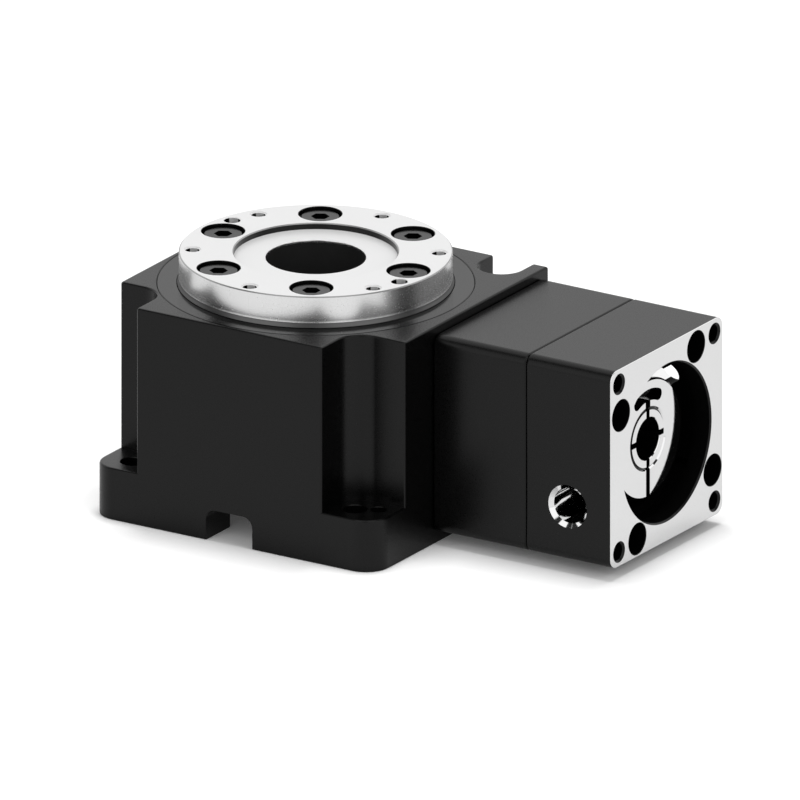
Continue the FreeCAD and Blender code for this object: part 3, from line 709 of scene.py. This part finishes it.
    def piece(self, name: str, body: str, slot: Slot, *nodes: str) -> None:
        """Make the finished object.

        Args:
            name: Name of the piece.
            body: Body that it rides on.
            slot: Material slot of the record; not used.
            nodes: Nodes that it stands for.
        """
        with self.editing() as bm:
            bmesh.ops.remove_doubles(bm, verts=bm.verts, dist=MERGE)
            bmesh.ops.delete(bm, geom=[edge for edge in bm.edges if not edge.link_faces], context="EDGES")
            bmesh.ops.scale(bm, vec=(METRE, METRE, METRE), verts=bm.verts)
        self.mesh.name = name
        self.mesh.shade_smooth()
        self.mesh.set_sharp_from_angle(angle=SHARP_ANGLE)
        made = linked(name, self.mesh)
        shade = made.modifiers.new("flat_faces", "WEIGHTED_NORMAL")
        shade.keep_sharp = True
        shade.weight = 90
        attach(made, body)
        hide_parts(*nodes)
        LOG.info("%s: %d faces on %s for %s", name, len(self.mesh.polygons), body, ", ".join(nodes))


@dataclass(frozen=True)
class Bore:
    """A round hole about Z that opens upwards in a face, with a chamfer as wide as its lip."""

    radius: float
    bottom: float
    face: float
    lip: float = 0.0

    def cutter(self, finish: Paint, steps: int = HOLE_STEPS) -> Solid:
        """Cutter for the hole.

        Args:
            finish: Material of its wall.
            steps: Number of steps in the full turn.

        Returns:
            The cutter.
        """
        radius, face = self.radius, self.face
        mouth, past = radius + self.lip, face + 1.0
        profile = [(0, self.bottom), (radius, self.bottom), (radius, face - self.lip)]
        if self.lip:
            profile.append((mouth, face))
        return Solid.turned([*profile, (mouth, past), (0, past)], finish, steps)


@dataclass
class CapScrew:
    """A socket cap screw with its head above height 0."""

    thread: float
    length: float
    head: float
    head_height: float
    across: float
    depth: float
    edge: float = 0.14
    tip: float = 0.15
    drill_tip: float = 0.35
    drill_gap: float = 0.03
    overlap: float = 0.02

    def build(self, finish: Paint, inside: Paint) -> Solid:
        """Model the screw.

        Args:
            finish: Its material.
            inside: Material of its socket, painted shade.

        Returns:
            The screw, upright about Z.
        """
        head, shank, top, edge = self.head / 2, self.thread / 2, self.head_height, self.edge
        tip = self.tip * self.thread
        body = Solid.turned([
            (0, -self.length), (shank - tip, -self.length), (shank, tip - self.length), (shank, 0),
            (head - edge / 2, 0), (head, edge / 2), (head, top - edge), (head - edge, top), (0, top),
        ], finish, HEAD_STEPS)
        floor = top - self.depth
        corners = [polar(self.across / math.sqrt(3), math.radians(60 * index)) for index in range(6)]
        turn = Matrix.Rotation(math.radians(30), 4, "Z")
        socket = Solid.slab(corners, floor, top + 1.0, inside).moved(turn)
        rim = floor + self.overlap
        drill = [(0, floor - self.drill_tip), (self.across / 2 - self.drill_gap, rim), (0, rim)]
        return body.cut(socket, Solid.turned(drill, inside, HOLE_STEPS))


COVER_SCREW = CapScrew(thread=2.5, length=5.0, head=4.5, head_height=2.5, across=2.0, depth=1.2)
SMALL_SCREW = CapScrew(thread=3.0, length=8.0, head=5.5, head_height=3.0, across=2.5, depth=1.5)
DISC_SCREW = CapScrew(thread=4.0, length=14.0, head=7.1, head_height=4.15, across=3.0, depth=2.0)


@dataclass
class InputAxis:
    """Where the input runs, beside and below the platform's axis."""

    offset: float = INPUT_OFFSET
    height: float = INPUT_HEIGHT

    def lay(self) -> Matrix:
        """Places a shape made about Z on the input axis, with heights as stations in X."""
        return Matrix.Translation((0, self.offset, self.height)) @ Matrix.Rotation(math.radians(90), 4, "Y")

    def half_turn(self) -> Matrix:
        """Half a turn about the input axis."""
        place = Matrix.Translation((0, self.offset, self.height))
        return place @ Matrix.Rotation(math.pi, 4, "X") @ place.inverted()

    def crosswise(self, x: float, y: float, drop: float) -> Matrix:
        """Lays a shape made about Z along -Y, at a station, beside and below the axis."""
        place = Matrix.Translation((x, self.offset + y, self.height - drop))
        return place @ Matrix.Rotation(math.radians(90), 4, "X")


@dataclass
class Assembly:
    """Pieces that share the finishes and the input axis."""

    finishes: Finishes
    axis: InputAxis

    def screw_set(self, screw: CapScrew, places: list[Matrix], name: str, body: str, node: str) -> None:
        """Model one piece of equal screws at their places, on its body and for its node."""
        # The sockets get the near-black painted shade.
        model = screw.build(self.finishes.oxide, self.finishes.painted_shade)
        Solid.together([model.moved(place) for place in places]).piece(name, body, Slot.OXIDE, node)


@dataclass
class Housing(Assembly):
    """Main housing, bearing retainer and bottom cover."""

    back: float = -30.1
    front: float = 31.35
    side: float = 29.6
    height: float = 42.0
    outside: float = 45.0
    foot: float = 10.0
    foot_corner: float = 4.8
    corner_facets: int = 14
    notch_x: float = 20.0
    notch_y: float = 19.1
    notch_radius: float = 5.0
    notch_facets: int = 12
    slot: tuple[float, float, float, float] = (19.7, 28.2, 21.2, 4.1)
    foot_bore: Bore = Bore(2.25, -1.0, 10.0, 0.12)
    foot_place: Plan = (24.0, 24.5)
    dowel_bore: Bore = Bore(1.5, -1.0, 10.0, 0.08)
    dowel_place: Plan = (27.8, 22.5)
    input_tap: Point = (1.52, 26.0, 33.0)
    cover_tap: Point = (1.27, 9.0, 13.7)
    cover_sink: Bore = Bore(2.4, -2.5, 0.0, 0.15)
    cover_bore: Point = (1.4, 8.0, 11.0)
    cover_seat: float = 8.7
    cover_edge: float = 0.25
    cable_low: Point = (-5.0, -31.0, -1.0)
    cable_high: Point = (5.0, -16.0, 6.0)
    cable_radius: float = 2.0
    cable_facets: int = 8
    edge: float = 0.45
    foot_edge: float = 0.2
    seam: float = 0.15
    cover_low: float = 6.2
    cover_circle: float = 18.8
    input_circle: float = 12.4

    def notch(self, side_x: int, side_y: int) -> Solid:
        """Cutter for one open corner.

        Args:
            side_x: Sign of the corner's X.
            side_y: Sign of the corner's Y.

        Returns:
            The cutter.
        """
        low = (self.notch_x, self.notch_y, self.foot)
        cutter = Solid.block(low, (self.outside, self.outside, self.height + 2.0), self.finishes.black)
        cutter.round_edges(
            self.notch_radius,
            lambda edge: all((v.co.xy - Vector(low[:2])).length < NEAR for v in edge.verts),
            self.notch_facets,
        )
        cutter = cutter.moved(Matrix.Diagonal((side_x, side_y, 1, 1)))
        with cutter.editing() as bm:
            bmesh.ops.recalc_face_normals(bm, faces=bm.faces)
        return cutter

    def screw_slot(self) -> Solid:
        """Cutter for the slot beside the input face."""
        left, right, floor, radius = self.slot
        high = (right, self.outside, self.height + 2.0)
        return Solid.block((left, floor, self.foot), high, self.finishes.black).round_edges(
            radius, lambda edge: upright(edge) and all(abs(v.co.y - floor) < NEAR for v in edge.verts),
            self.notch_facets,
        )

    def holes(self) -> list[Solid]:
        """Cutters for the feet, the dowels, the input's screws and the cover's screws."""
        black = self.finishes.black
        x, y = self.foot_place
        foot = self.foot_bore.cutter(black, BORE_STEPS)
        tools = [foot.shifted(sx * x, sy * y) for sx in (-1, 1) for sy in (-1, 1)]
        x, y = self.dowel_place
        dowel = self.dowel_bore.cutter(black, BORE_STEPS)
        tools += [dowel.shifted(x, -y), dowel.shifted(-x, y)]
        screw = Solid.rod(*self.input_tap, black)
        for index in range(4):
            place = polar(self.input_circle, math.radians(45 + 90 * index))
            tools.append(screw.shifted(*place).moved(self.axis.lay()))
        return tools + Solid.rod(*self.cover_tap, black).shifted(self.cover_circle).spread(4, 45)

    def make_housing(self) -> None:
        """Model the main housing."""
        black = self.finishes.black
        body = Solid.block((self.back, -self.side, 0), (self.front, self.side, self.height), black)
        body.round_edges(
            self.foot_corner,
            lambda edge: upright(edge) and not (edge.verts[0].co.x > 0 and edge.verts[0].co.y > 0),
            self.corner_facets,
        )
        body.cut(self.notch(-1, -1), self.notch(1, -1), self.notch(-1, 1), self.screw_slot()).flatten()
        body.round_edges(self.edge, lambda edge: low_end(edge) > NEAR)
        body.round_edges(self.foot_edge, lambda edge: high_end(edge) < self.foot_edge, 2)
        bearing = Solid.turned(Outline.PINION_BORE.value, black, BORE_STEPS).moved(self.axis.lay())
        cable = Solid.block(self.cable_low, self.cable_high, black)
        cable.round_edges(
            self.cable_radius,
            lambda edge: low_end(edge) > self.cable_high[2] - 0.1
            and abs(edge.verts[0].co.y - edge.verts[1].co.y) > 1, self.cable_facets,
        )
        body.cut(Solid.turned(Outline.CAVITY.value, black), bearing, cable, *self.holes())
        body.piece("housing_shell", "root", Slot.BLACK, "main_housing")

    def make_retainer(self) -> None:
        """Model the flanged ring round the disc."""
        ring = Solid.turned(Outline.RETAINER.value, self.finishes.ring)
        ring.round_edges(self.seam, lambda edge: low_end(edge) > self.height - NEAR, 1)
        ring.piece("retainer_ring", "root", Slot.BLACK, "bearing_retainer")

    def make_cover(self) -> None:
        """Model the bottom cover."""
        black, low = self.finishes.black, self.cover_low
        cover = Solid.turned(Outline.COVER.value, black)
        cover.round_edges(self.cover_edge, lambda edge: high_end(edge) < low + NEAR)
        flip = Matrix.Translation((0, 0, low)) @ Matrix.Rotation(math.pi, 4, "X")
        sink = self.cover_sink.cutter(black).moved(flip).shifted(self.cover_circle)
        bore = Solid.rod(*self.cover_bore, black).shifted(self.cover_circle)
        cover.cut(*sink.spread(4, 45), *bore.spread(4, 45))
        cover.piece("cover_plate", "root", Slot.BLACK, "bottom_cover")

    def make_cover_screws(self) -> None:
        """Model the screws of the bottom cover."""
        seat = Matrix.Translation((self.cover_circle, 0, self.cover_seat))
        places = [turn @ seat @ Matrix.Rotation(math.pi, 4, "X") for turn in turns_about_z(4, 45)]
        self.screw_set(COVER_SCREW, places, "cover_screw_set", "root", "bottom_cover_screws")

    def build(self) -> None:
        """Model every piece of the housing."""
        self.make_housing()
        self.make_retainer()
        self.make_cover()
        self.make_cover_screws()


@dataclass
class Turntable(Assembly):
    """Output platform, its screws and the hollow shaft."""

    radius: float = 25.0
    top: float = 48.0
    recess: float = 15.0
    floor: float = 46.8
    flare_high: float = 42.98
    edge: float = 0.2
    shaft: float = 10.0
    shaft_low: float = 6.5
    screw_radius: float = 20.0
    head_seat: float = 43.35
    tap_radius: float = 22.5
    tap: Bore = Bore(1.3, 43.5, 48.0, 0.3)
    pin: Bore = Bore(1.5, 43.5, 48.0, 0.12)
    light_bearing: float = math.radians(32.3)
    lit_span: Plan = (-0.35, 0.7)
    slope_span: Plan = (0.3, 0.9)
    tap_turns: tuple[int, float] = (6, 30.0)
    pin_turns: tuple[int, float] = (2, 165.0)

    def lit(self, face: Face) -> bool:
        """Whether a wall face of a small hole about Z is on the side that catches the light."""
        low, high = self.lit_span
        towards = Vector(polar(1.0, self.light_bearing))
        return low < face.calc_center_median().xy.normalized().dot(towards) < high

    def turned_disc(self) -> Solid:
        """The disc without its holes, with a flared foot, painted shade on the recess wall, and a painted
        dark reflection in grey on the foot and the broken edges.
        """
        finishes, floor = self.finishes, self.floor
        low, high = self.slope_span
        disc = Solid.turned(Outline.DISC.value, finishes.bright, DISC_STEPS)
        disc.repaint(finishes.satin, lambda face: face.normal.z > high)
        disc.round_edges(self.edge, lambda edge: low_end(edge) > self.top - NEAR, 1)
        # The wall of the middle recess gets the black finish: painted shade.
        disc.repaint(
            finishes.black,
            lambda face: is_wall(face) and height_of(face) > floor and reach_of(face) < self.recess + 0.1,
        )
        # The chamfers get the darker grey copy: a painted dark reflection line.
        disc.repaint(finishes.edge, lambda face: low < face.normal.z < high and height_of(face) > floor)
        # The flared foot below flare_high gets the dark grey copy: a painted dark reflection of the housing
        # top.
        disc.repaint(
            finishes.painted_reflection_flare, lambda face: height_of(face) < self.flare_high and reach_of(face) > self.radius
        )
        return disc.round_edges(
            self.edge,
            lambda edge: abs(edge.verts[0].co.z - floor) < NEAR and edge.verts[0].co.xy.length < self.shaft,
        )

    def make_disc(self) -> None:
        """Model the turning disc."""
        finishes = self.finishes
        # The counterbores are cut with the black finish: painted shade on their walls and seats.
        sink = Solid.turned(Outline.SINK.value, finishes.black, BORE_STEPS).shifted(self.screw_radius)
        small = []
        for bore, (count, first) in ((self.tap, self.tap_turns), (self.pin, self.pin_turns)):
            cutter = bore.cutter(finishes.satin)
            # Hole walls facing away from the light get painted shade; lit walls and chamfers keep the satin
            # finish.
            cutter.repaint(finishes.painted_shade, lambda face: is_wall(face) and not self.lit(face))
            turns = [math.radians(first + 360 / count * index) for index in range(count)]
            small += [cutter.shifted(*polar(self.tap_radius, turn)) for turn in turns]
        disc = self.turned_disc().cut(*sink.spread(6), *small)
        disc.piece("turning_disc", "platform", Slot.BRIGHT, "output_platform")

    def make_screws(self) -> None:
        """Model the six screws in the disc."""
        place = Matrix.Translation((self.screw_radius, 0, self.head_seat))
        places = [turn @ place for turn in turns_about_z(6)]
        self.screw_set(DISC_SCREW, places, "disc_screw_set", "platform", "platform_screws")

    def make_shaft(self) -> None:
        """Model the hollow shaft."""
        shaft = Solid.turned(Outline.SHAFT.value, self.finishes.tube)
        shaft.round_edges(self.edge, lambda edge: high_end(edge) < self.shaft_low + 0.1)
        shaft.piece("bore_tube", "platform", Slot.OXIDE, "hollow_shaft")

    def build(self) -> None:
        """Model every piece of the turntable."""
        self.make_disc()
        self.make_screws()
        self.make_shaft()


@dataclass
class InputDrive(Assembly):
    """Square input housings, motor face, clamping hub and collet."""

    square: float = 38.1
    corner: float = 2.0
    corner_facets: int = 10
    start: float = 31.35
    joint: float = 51.38
    face: float = 69.73
    groove: float = 0.45
    rim: float = 0.15
    inner_half: float = 17.9
    pilot_lip: float = 0.3
    bare_depth: float = 0.12
    tap_place: float = 16.25
    tap: Bore = Bore(1.65, 59.73, 69.73, 0.38)
    deep: Bore = Bore(3.0, 54.73, 69.73, 0.1)
    deep_steps: int = 56
    through: Point = (1.65, 50.0, 55.73)
    screw_radius: float = 18.53
    screw_turn: float = 57.3
    hub_face: float = 65.68
    shaft: float = 4.0
    sleeve_edge: float = 5.5
    slot_depth: float = 6.0
    clamp_x: float = 60.40
    clamp_drop: float = 8.4
    clamp_side: float = 2.85
    access: Bore = Bore(3.4, 0.5, 19.05, 0.75)
    access_shine: float = 1.2
    pocket: Bore = Bore(2.9, 0.0, 20.0)
    thread: Bore = Bore(1.52, 0.0, 4.0)
    thread_side: float = 5.5
    split: Point = (4.8, 13.0, 0.65)
    slit: Point = (-7.9, -4.8, 0.8)
    sleeve_slit: Point = (2.5, 8.0, 0.55)
    slot_radii: Plan = (7.25, 9.5)
    slot_span: float = 66.0
    arc_steps: int = 20
    end_steps: int = 12

    def square_block(self, low: float, high: float, rim: float) -> Solid:
        """A square block about Z with rounded long edges and fine end edges.

        Args:
            low: Height of its foot.
            high: Height of its top.
            rim: Rounding of the edges at its top.

        Returns:
            The block.
        """
        half, middle = self.square / 2, (low + high) / 2
        body = Solid.block((-half, -half, low), (half, half, high), self.finishes.black)
        body.round_edges(self.corner, upright, self.corner_facets)
        body.round_edges(self.groove, lambda edge: high_end(edge) < middle)
        return body.round_edges(rim, lambda edge: low_end(edge) > middle)

    def screw_places(self) -> Profile:
        """Places of the deep adapter screws in the plan of a shape made about Z."""
        turns = [math.radians(self.screw_turn + 90 * index) for index in range(4)]
        return [(-self.screw_radius * math.sin(turn), self.screw_radius * math.cos(turn)) for turn in turns]

    def across(self, bore: Bore, finish: Paint) -> Solid:
        """Cutter along Y in line with the clamp screw, with heights as distances from the axis."""
        place = self.axis.crosswise(self.clamp_x, 0, self.clamp_drop)
        return bore.cutter(finish, HEAD_STEPS).moved(place)

    def saw(self, near: float, far: float, half: float) -> Solid:
        """Cutter for a straight slot in the hub's face, between two distances from its axis, whose black
        walls are painted shade.
        """
        low, high = self.hub_face - self.slot_depth, self.hub_face + 1
        return Solid.block((near, -half, low), (far, half, high), self.finishes.black)

    def make_ring_housing(self) -> None:
        """Model the square housing of the planetary stage, with the node's own inner teeth."""
        axis, gear, half = self.axis, self.finishes.gear, self.inner_half
        body = self.square_block(self.start, self.joint, self.groove).moved(axis.lay())
        inner = bmesh.new()
        inner.from_mesh(bpy.data.objects["input_housing"].data)
        bmesh.ops.scale(inner, vec=(1 / METRE,) * 3, verts=inner.verts)
        bmesh.ops.remove_doubles(inner, verts=inner.verts, dist=MERGE)
        low = (self.start - 0.5, axis.offset - half, axis.height - half)
        high = (self.joint + 0.5, axis.offset + half, axis.height + half)
        body.cut(Solid.block(low, high, gear).cut(Solid(mesh_from(inner, "solid", gear))))
        body.piece("ring_housing", "root", Slot.BLACK, "input_housing")

    def adapter_bore(self) -> Solid:
        """Cutter for the stepped bore of the motor adapter, with painted shade on its walls and a black
        chamfer at its mouth.
        """
        bore = Solid.turned(Outline.ADAPTER_BORE.value, self.finishes.painted_shade)
        bore.repaint(self.finishes.black, lambda item: height_of(item) > self.face - self.pilot_lip)
        return bore

    def make_adapter(self) -> None:
        """Model the motor adapter with its bare end face."""
        black, painted_shade, face = self.finishes.black, self.finishes.painted_shade, self.face
        body = self.square_block(self.joint, face, self.rim)
        body.repaint(self.finishes.face, lambda item: height_of(item) > face - self.bare_depth)
        body.fuse(Solid.turned(Outline.SPIGOT.value, black))
        tap, deep = self.tap.cutter(black), self.deep.cutter(black, self.deep_steps)
        through = Solid.rod(*self.through, black)
        # The walls of the tapped and deep holes get painted shade.
        for cutter in (tap, deep):
            cutter.repaint(painted_shade, is_wall)
        tools = [self.adapter_bore()]
        tools += [tap.shifted(sx * self.tap_place, sy * self.tap_place) for sx in (-1, 1) for sy in (-1, 1)]
        for place in self.screw_places():
            tools += [deep.shifted(*place), through.shifted(*place)]
        body = body.cut(*tools).moved(self.axis.lay())
        access = self.across(self.access, self.finishes.bare)
        shade_from = self.clamp_x - self.access_shine
        # Wall faces of the access hole towards +X get painted shade; the rest stays bare metal.
        access.repaint(
            painted_shade, lambda item: abs(item.normal.y) < 0.1 and item.calc_center_median().x > shade_from
        )
        body.cut(access).cut(access.moved(self.axis.half_turn()))
        body.piece("motor_flange", "root", Slot.BLACK, "motor_adapter")

    def make_adapter_screws(self) -> None:
        """Model the four deep screws."""
        lay, seat = self.axis.lay(), self.deep.bottom
        places = [lay @ Matrix.Translation((x, y, seat)) for x, y in self.screw_places()]
        self.screw_set(SMALL_SCREW, places, "flange_screw_set", "root", "motor_adapter_screws")

    def make_hub(self) -> None:
        """Model the clamping hub with its split, relief slot and pockets."""
        finishes, face = self.finishes, self.hub_face
        hub = Solid.turned(Outline.HUB.value, finishes.hub)
        # The relief slot and the saw cuts have black walls: painted shade in the slits.
        relief = Solid.slab(self.relief_outline(), face - self.slot_depth, face + 1, finishes.black)
        hub = hub.cut(self.saw(*self.split), self.saw(*self.slit), relief).moved(self.axis.lay())
        # The pockets for the clamp screw get painted shade on their walls.
        pocket = self.across(self.pocket, finishes.painted_shade).shifted(0, -self.clamp_side)
        thread = self.across(self.thread, finishes.hub).shifted(0, self.thread_side)
        hub.cut(pocket, thread, pocket.moved(self.axis.half_turn()))
        hub.piece("clamping_hub", "input", Slot.BRIGHT, "input_hub")

    def relief_outline(self) -> Profile:
        """Plan of the curved relief slot with round ends, along its outer side and back."""
        inner, outer = self.slot_radii
        middle, half = (outer + inner) / 2, (outer - inner) / 2
        turn = math.radians(self.slot_span / 2) - half / middle
        arc, ends = self.arc_steps, self.end_steps
        outline = []
        for side, radius in ((1, outer), (-1, inner)):
            end = math.pi + side * turn
            outline += [polar(radius, end - side * turn * 2 * (1 - step / arc)) for step in range(arc)]
            x, y = polar(middle, end)
            first = end if side > 0 else end + math.pi
            for step in range(ends + 1):
                dx, dy = polar(half, first + math.pi * step / ends)
                outline.append((x + dx, y + dy))
        return outline

    def make_collet(self) -> None:
        """Model the slit sleeve for the motor's shaft."""
        black = self.finishes.black
        sleeve = Solid.turned(Outline.SLEEVE.value, self.finishes.hub, SLEEVE_STEPS)
        # The sleeve's bore and its outer chamfer get the black finish: painted shade.
        sleeve.repaint(black, lambda item: reach_of(item) < self.shaft + NEAR)
        sleeve.repaint(
            black, lambda item: reach_of(item) > self.sleeve_edge and 0.1 < abs(item.normal.z) < 0.9
        )
        sleeve = sleeve.cut(*self.saw(*self.sleeve_slit).spread(4)).moved(self.axis.lay())
        sleeve.piece("shaft_collet", "input", Slot.BRIGHT, "collet_sleeve")

    def make_clamp_screw(self) -> None:
        """Model the clamp screw across the hub's split."""
        place = self.axis.crosswise(self.clamp_x, -self.clamp_side, self.clamp_drop)
        self.screw_set(SMALL_SCREW, [place], "hub_screw", "input", "clamp_screw")

    def build(self) -> None:
        """Model every piece of the input side."""
        self.make_ring_housing()
        self.make_adapter()
        self.make_adapter_screws()
        self.make_hub()
        self.make_collet()
        self.make_clamp_screw()


def dress(nodes: dict[str, bpy.types.Object], slots: dict[str, str], finishes: Finishes) -> None:
    """Give every node the finish named after its slot, also where a finer piece stands for it."""
    for name, node in nodes.items():
        node.data.materials.clear()
        node.data.materials.append(getattr(finishes, Slot(slots[name]).name.lower()))
        LOG.info("%s: dressed", name)


@dataclass(frozen=True)
class Lamp:
    """A soft square lamp with its place and side in metres."""

    name: str
    place: Point
    size: float
    watts: float
    aim: Point = (0.02, 0.0, 0.02)

    def build(self) -> None:
        """Hang the lamp and aim it at the object."""
        data = bpy.data.lights.new(self.name, "AREA")
        data.shape = "SQUARE"
        data.size = self.size
        data.energy = self.watts
        lamp = linked(self.name, data)
        lamp.location = self.place
        lamp.visible_glossy = False
        lamp.rotation_mode = "QUATERNION"
        lamp.rotation_quaternion = (Vector(self.place) - Vector(self.aim)).to_track_quat("Z", "Y")


@dataclass
class Studio:
    """White sweep, lamps and the camera."""

    azimuth: float = 32.34
    elevation: float = 19.74
    pixels_per_mm: float = 5.484
    frame: float = 800.0
    origin_pixel: Plan = (315.8, 498.44)
    camera_distance: float = 0.6
    clip: Plan = (0.01, 20.0)
    floor_half: float = 3.0
    floor_drop: float = 0.00005
    floor_glow: float = 0.05
    floor_paper: float = 0.8
    seen_paper: float = 1.0
    mirrored_paper: float = 0.62
    sky: float = 0.36
    lamps: tuple[Lamp, ...] = (
        Lamp("top", (0.0, 0.07, 1.00), 0.35, 6.6),
        Lamp("front", (0.00, -0.80, 0.60), 0.6, 1.9),
        Lamp("side", (0.90, -0.10, 0.60), 0.6, 2.4),
    )
    flag_distance: float = 1.4
    flag_top: float = 75.0
    flag_solid: float = 0.35
    flag_tone: float = 0.02
    flags: tuple[Plan, ...] = ((-89.0, 17.0), (-5.0, 14.0), (80.0, 14.0))

    def make_camera(self) -> None:
        """Parallel camera at the view of the reference."""
        turn, rise = math.radians(self.azimuth), math.radians(self.elevation)
        right = Vector((math.cos(turn), math.sin(turn), 0))
        up = Vector((-math.sin(turn) * math.sin(rise), math.cos(turn) * math.sin(rise), math.cos(rise)))
        back = right.cross(up)
        column, row = self.origin_pixel
        middle = self.frame / 2
        scale = self.pixels_per_mm
        centre = right * ((middle - column) / scale) + up * ((row - middle) / scale)
        data = bpy.data.cameras.new("camera")
        data.type = "ORTHO"
        data.ortho_scale = self.frame / scale * METRE
        data.clip_start, data.clip_end = self.clip
        camera = linked("camera", data)
        facing = Matrix((right, up, back)).transposed().to_4x4()
        camera.matrix_world = Matrix.Translation(centre * METRE + back * self.camera_distance) @ facing
        bpy.context.scene.camera = camera

    def make_floor(self) -> None:
        """White floor that keeps the shadow and looks white in the picture and in reflections."""
        painter = Painter.of_material("white_sweep")
        camera, glossy, clear = (painter.ray(kind) for kind in ("Camera", "Glossy", "Transmission"))
        seen = (self.seen_paper - self.floor_paper) * camera
        mirrored = (self.mirrored_paper - self.floor_paper) * (glossy + clear)
        paper = painter.node("ShaderNodeBsdfDiffuse", inputs={"Color": self.floor_paper + seen + mirrored})
        strength = self.floor_glow * (camera + glossy + clear)
        glow = painter.node("ShaderNodeEmission", inputs={"Color": (1, 1, 1, 1), "Strength": strength})
        white = painter.close(painter.node("ShaderNodeAddShader", inputs={0: paper, 1: glow}))
        bm = bmesh.new()
        bmesh.ops.create_grid(bm, x_segments=1, y_segments=1, size=self.floor_half)
        floor = linked("floor", mesh_from(bm, "floor", white))
        floor.location.z = -self.floor_drop

    def make_world(self) -> None:
        """Even white surroundings, dimmer as a light than in the picture and in reflections."""
        world = bpy.data.worlds.new("studio")
        bpy.context.scene.world = world
        painter = Painter(world, "ShaderNodeOutputWorld")
        rays = {0: painter.ray("Camera"), 1: painter.ray("Glossy")}
        seen = painter.node("ShaderNodeMath", {"operation": "MAXIMUM"}, rays)
        span = {"Value": seen, "To Min": self.sky, "To Max": 1.0}
        inputs = {"Color": (1, 1, 1, 1), "Strength": painter.node("ShaderNodeMapRange", inputs=span)}
        painter.close(painter.node("ShaderNodeBackground", inputs=inputs))

    def make_flags(self) -> None:
        """Black cloths with soft sides that only reflections show, as in a photographer's studio."""
        painter = Painter.of_material("black_cloth")
        across, height = (
            painter.node("ShaderNodeSeparateXYZ", inputs={"Vector": painter.place()}, output=name)
            for name in "YZ"
        )
        solid = self.flag_solid
        shown = (1.0 - (across * across).ramp(solid, 1.0)) * (1.0 - height.ramp(solid, 1.0))
        clear = painter.node("ShaderNodeBsdfTransparent")
        tone = (*grey(self.flag_tone), 1.0)
        cloth = painter.node("ShaderNodeEmission", inputs={"Color": tone, "Strength": 1.0})
        dark = painter.close(painter.node("ShaderNodeMixShader", inputs={0: shown, 1: clear, 2: cloth}))
        for number, (bearing, half) in enumerate(self.flags):
            bm = bmesh.new()
            corners = ((0, -1, 0), (0, 1, 0), (0, 1, 1), (0, -1, 1))
            bm.faces.new([bm.verts.new(corner) for corner in corners])
            flag = linked(f"flag_{number}", mesh_from(bm, f"flag_{number}", dark))
            turn = math.radians(self.azimuth - 90.0 + bearing)
            flag.location = (*polar(self.flag_distance, turn), 0.0)
            flag.rotation_euler.z = turn
            wide, tall = (math.tan(math.radians(angle)) for angle in (half, self.flag_top))
            flag.scale = (1.0, self.flag_distance * wide, self.flag_distance * tall)
            flag.visible_camera = flag.visible_diffuse = False
            flag.visible_shadow = flag.visible_transmission = False

    def build(self) -> None:
        """Set up the studio."""
        self.make_camera()
        self.make_floor()
        self.make_world()
        self.make_flags()
        for lamp in self.lamps:
            lamp.build()
        bpy.context.scene.view_settings.view_transform = "Standard"


def main() -> None:
    """Load the frame, build every assembly and set up the studio."""
    logging.basicConfig(level=logging.INFO, format="%(message)s")
    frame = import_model()
    finishes = Finishes()
    axis = InputAxis()
    slots = {row["node"]: row["material_slot"] for row in frame["record"]["subparts"]}
    dress(frame["nodes"], slots, finishes)
    for assembly in (Housing(finishes, axis), Turntable(finishes, axis), InputDrive(finishes, axis)):
        assembly.build()
    Studio().build()


if __name__ == "__main__":
    main()
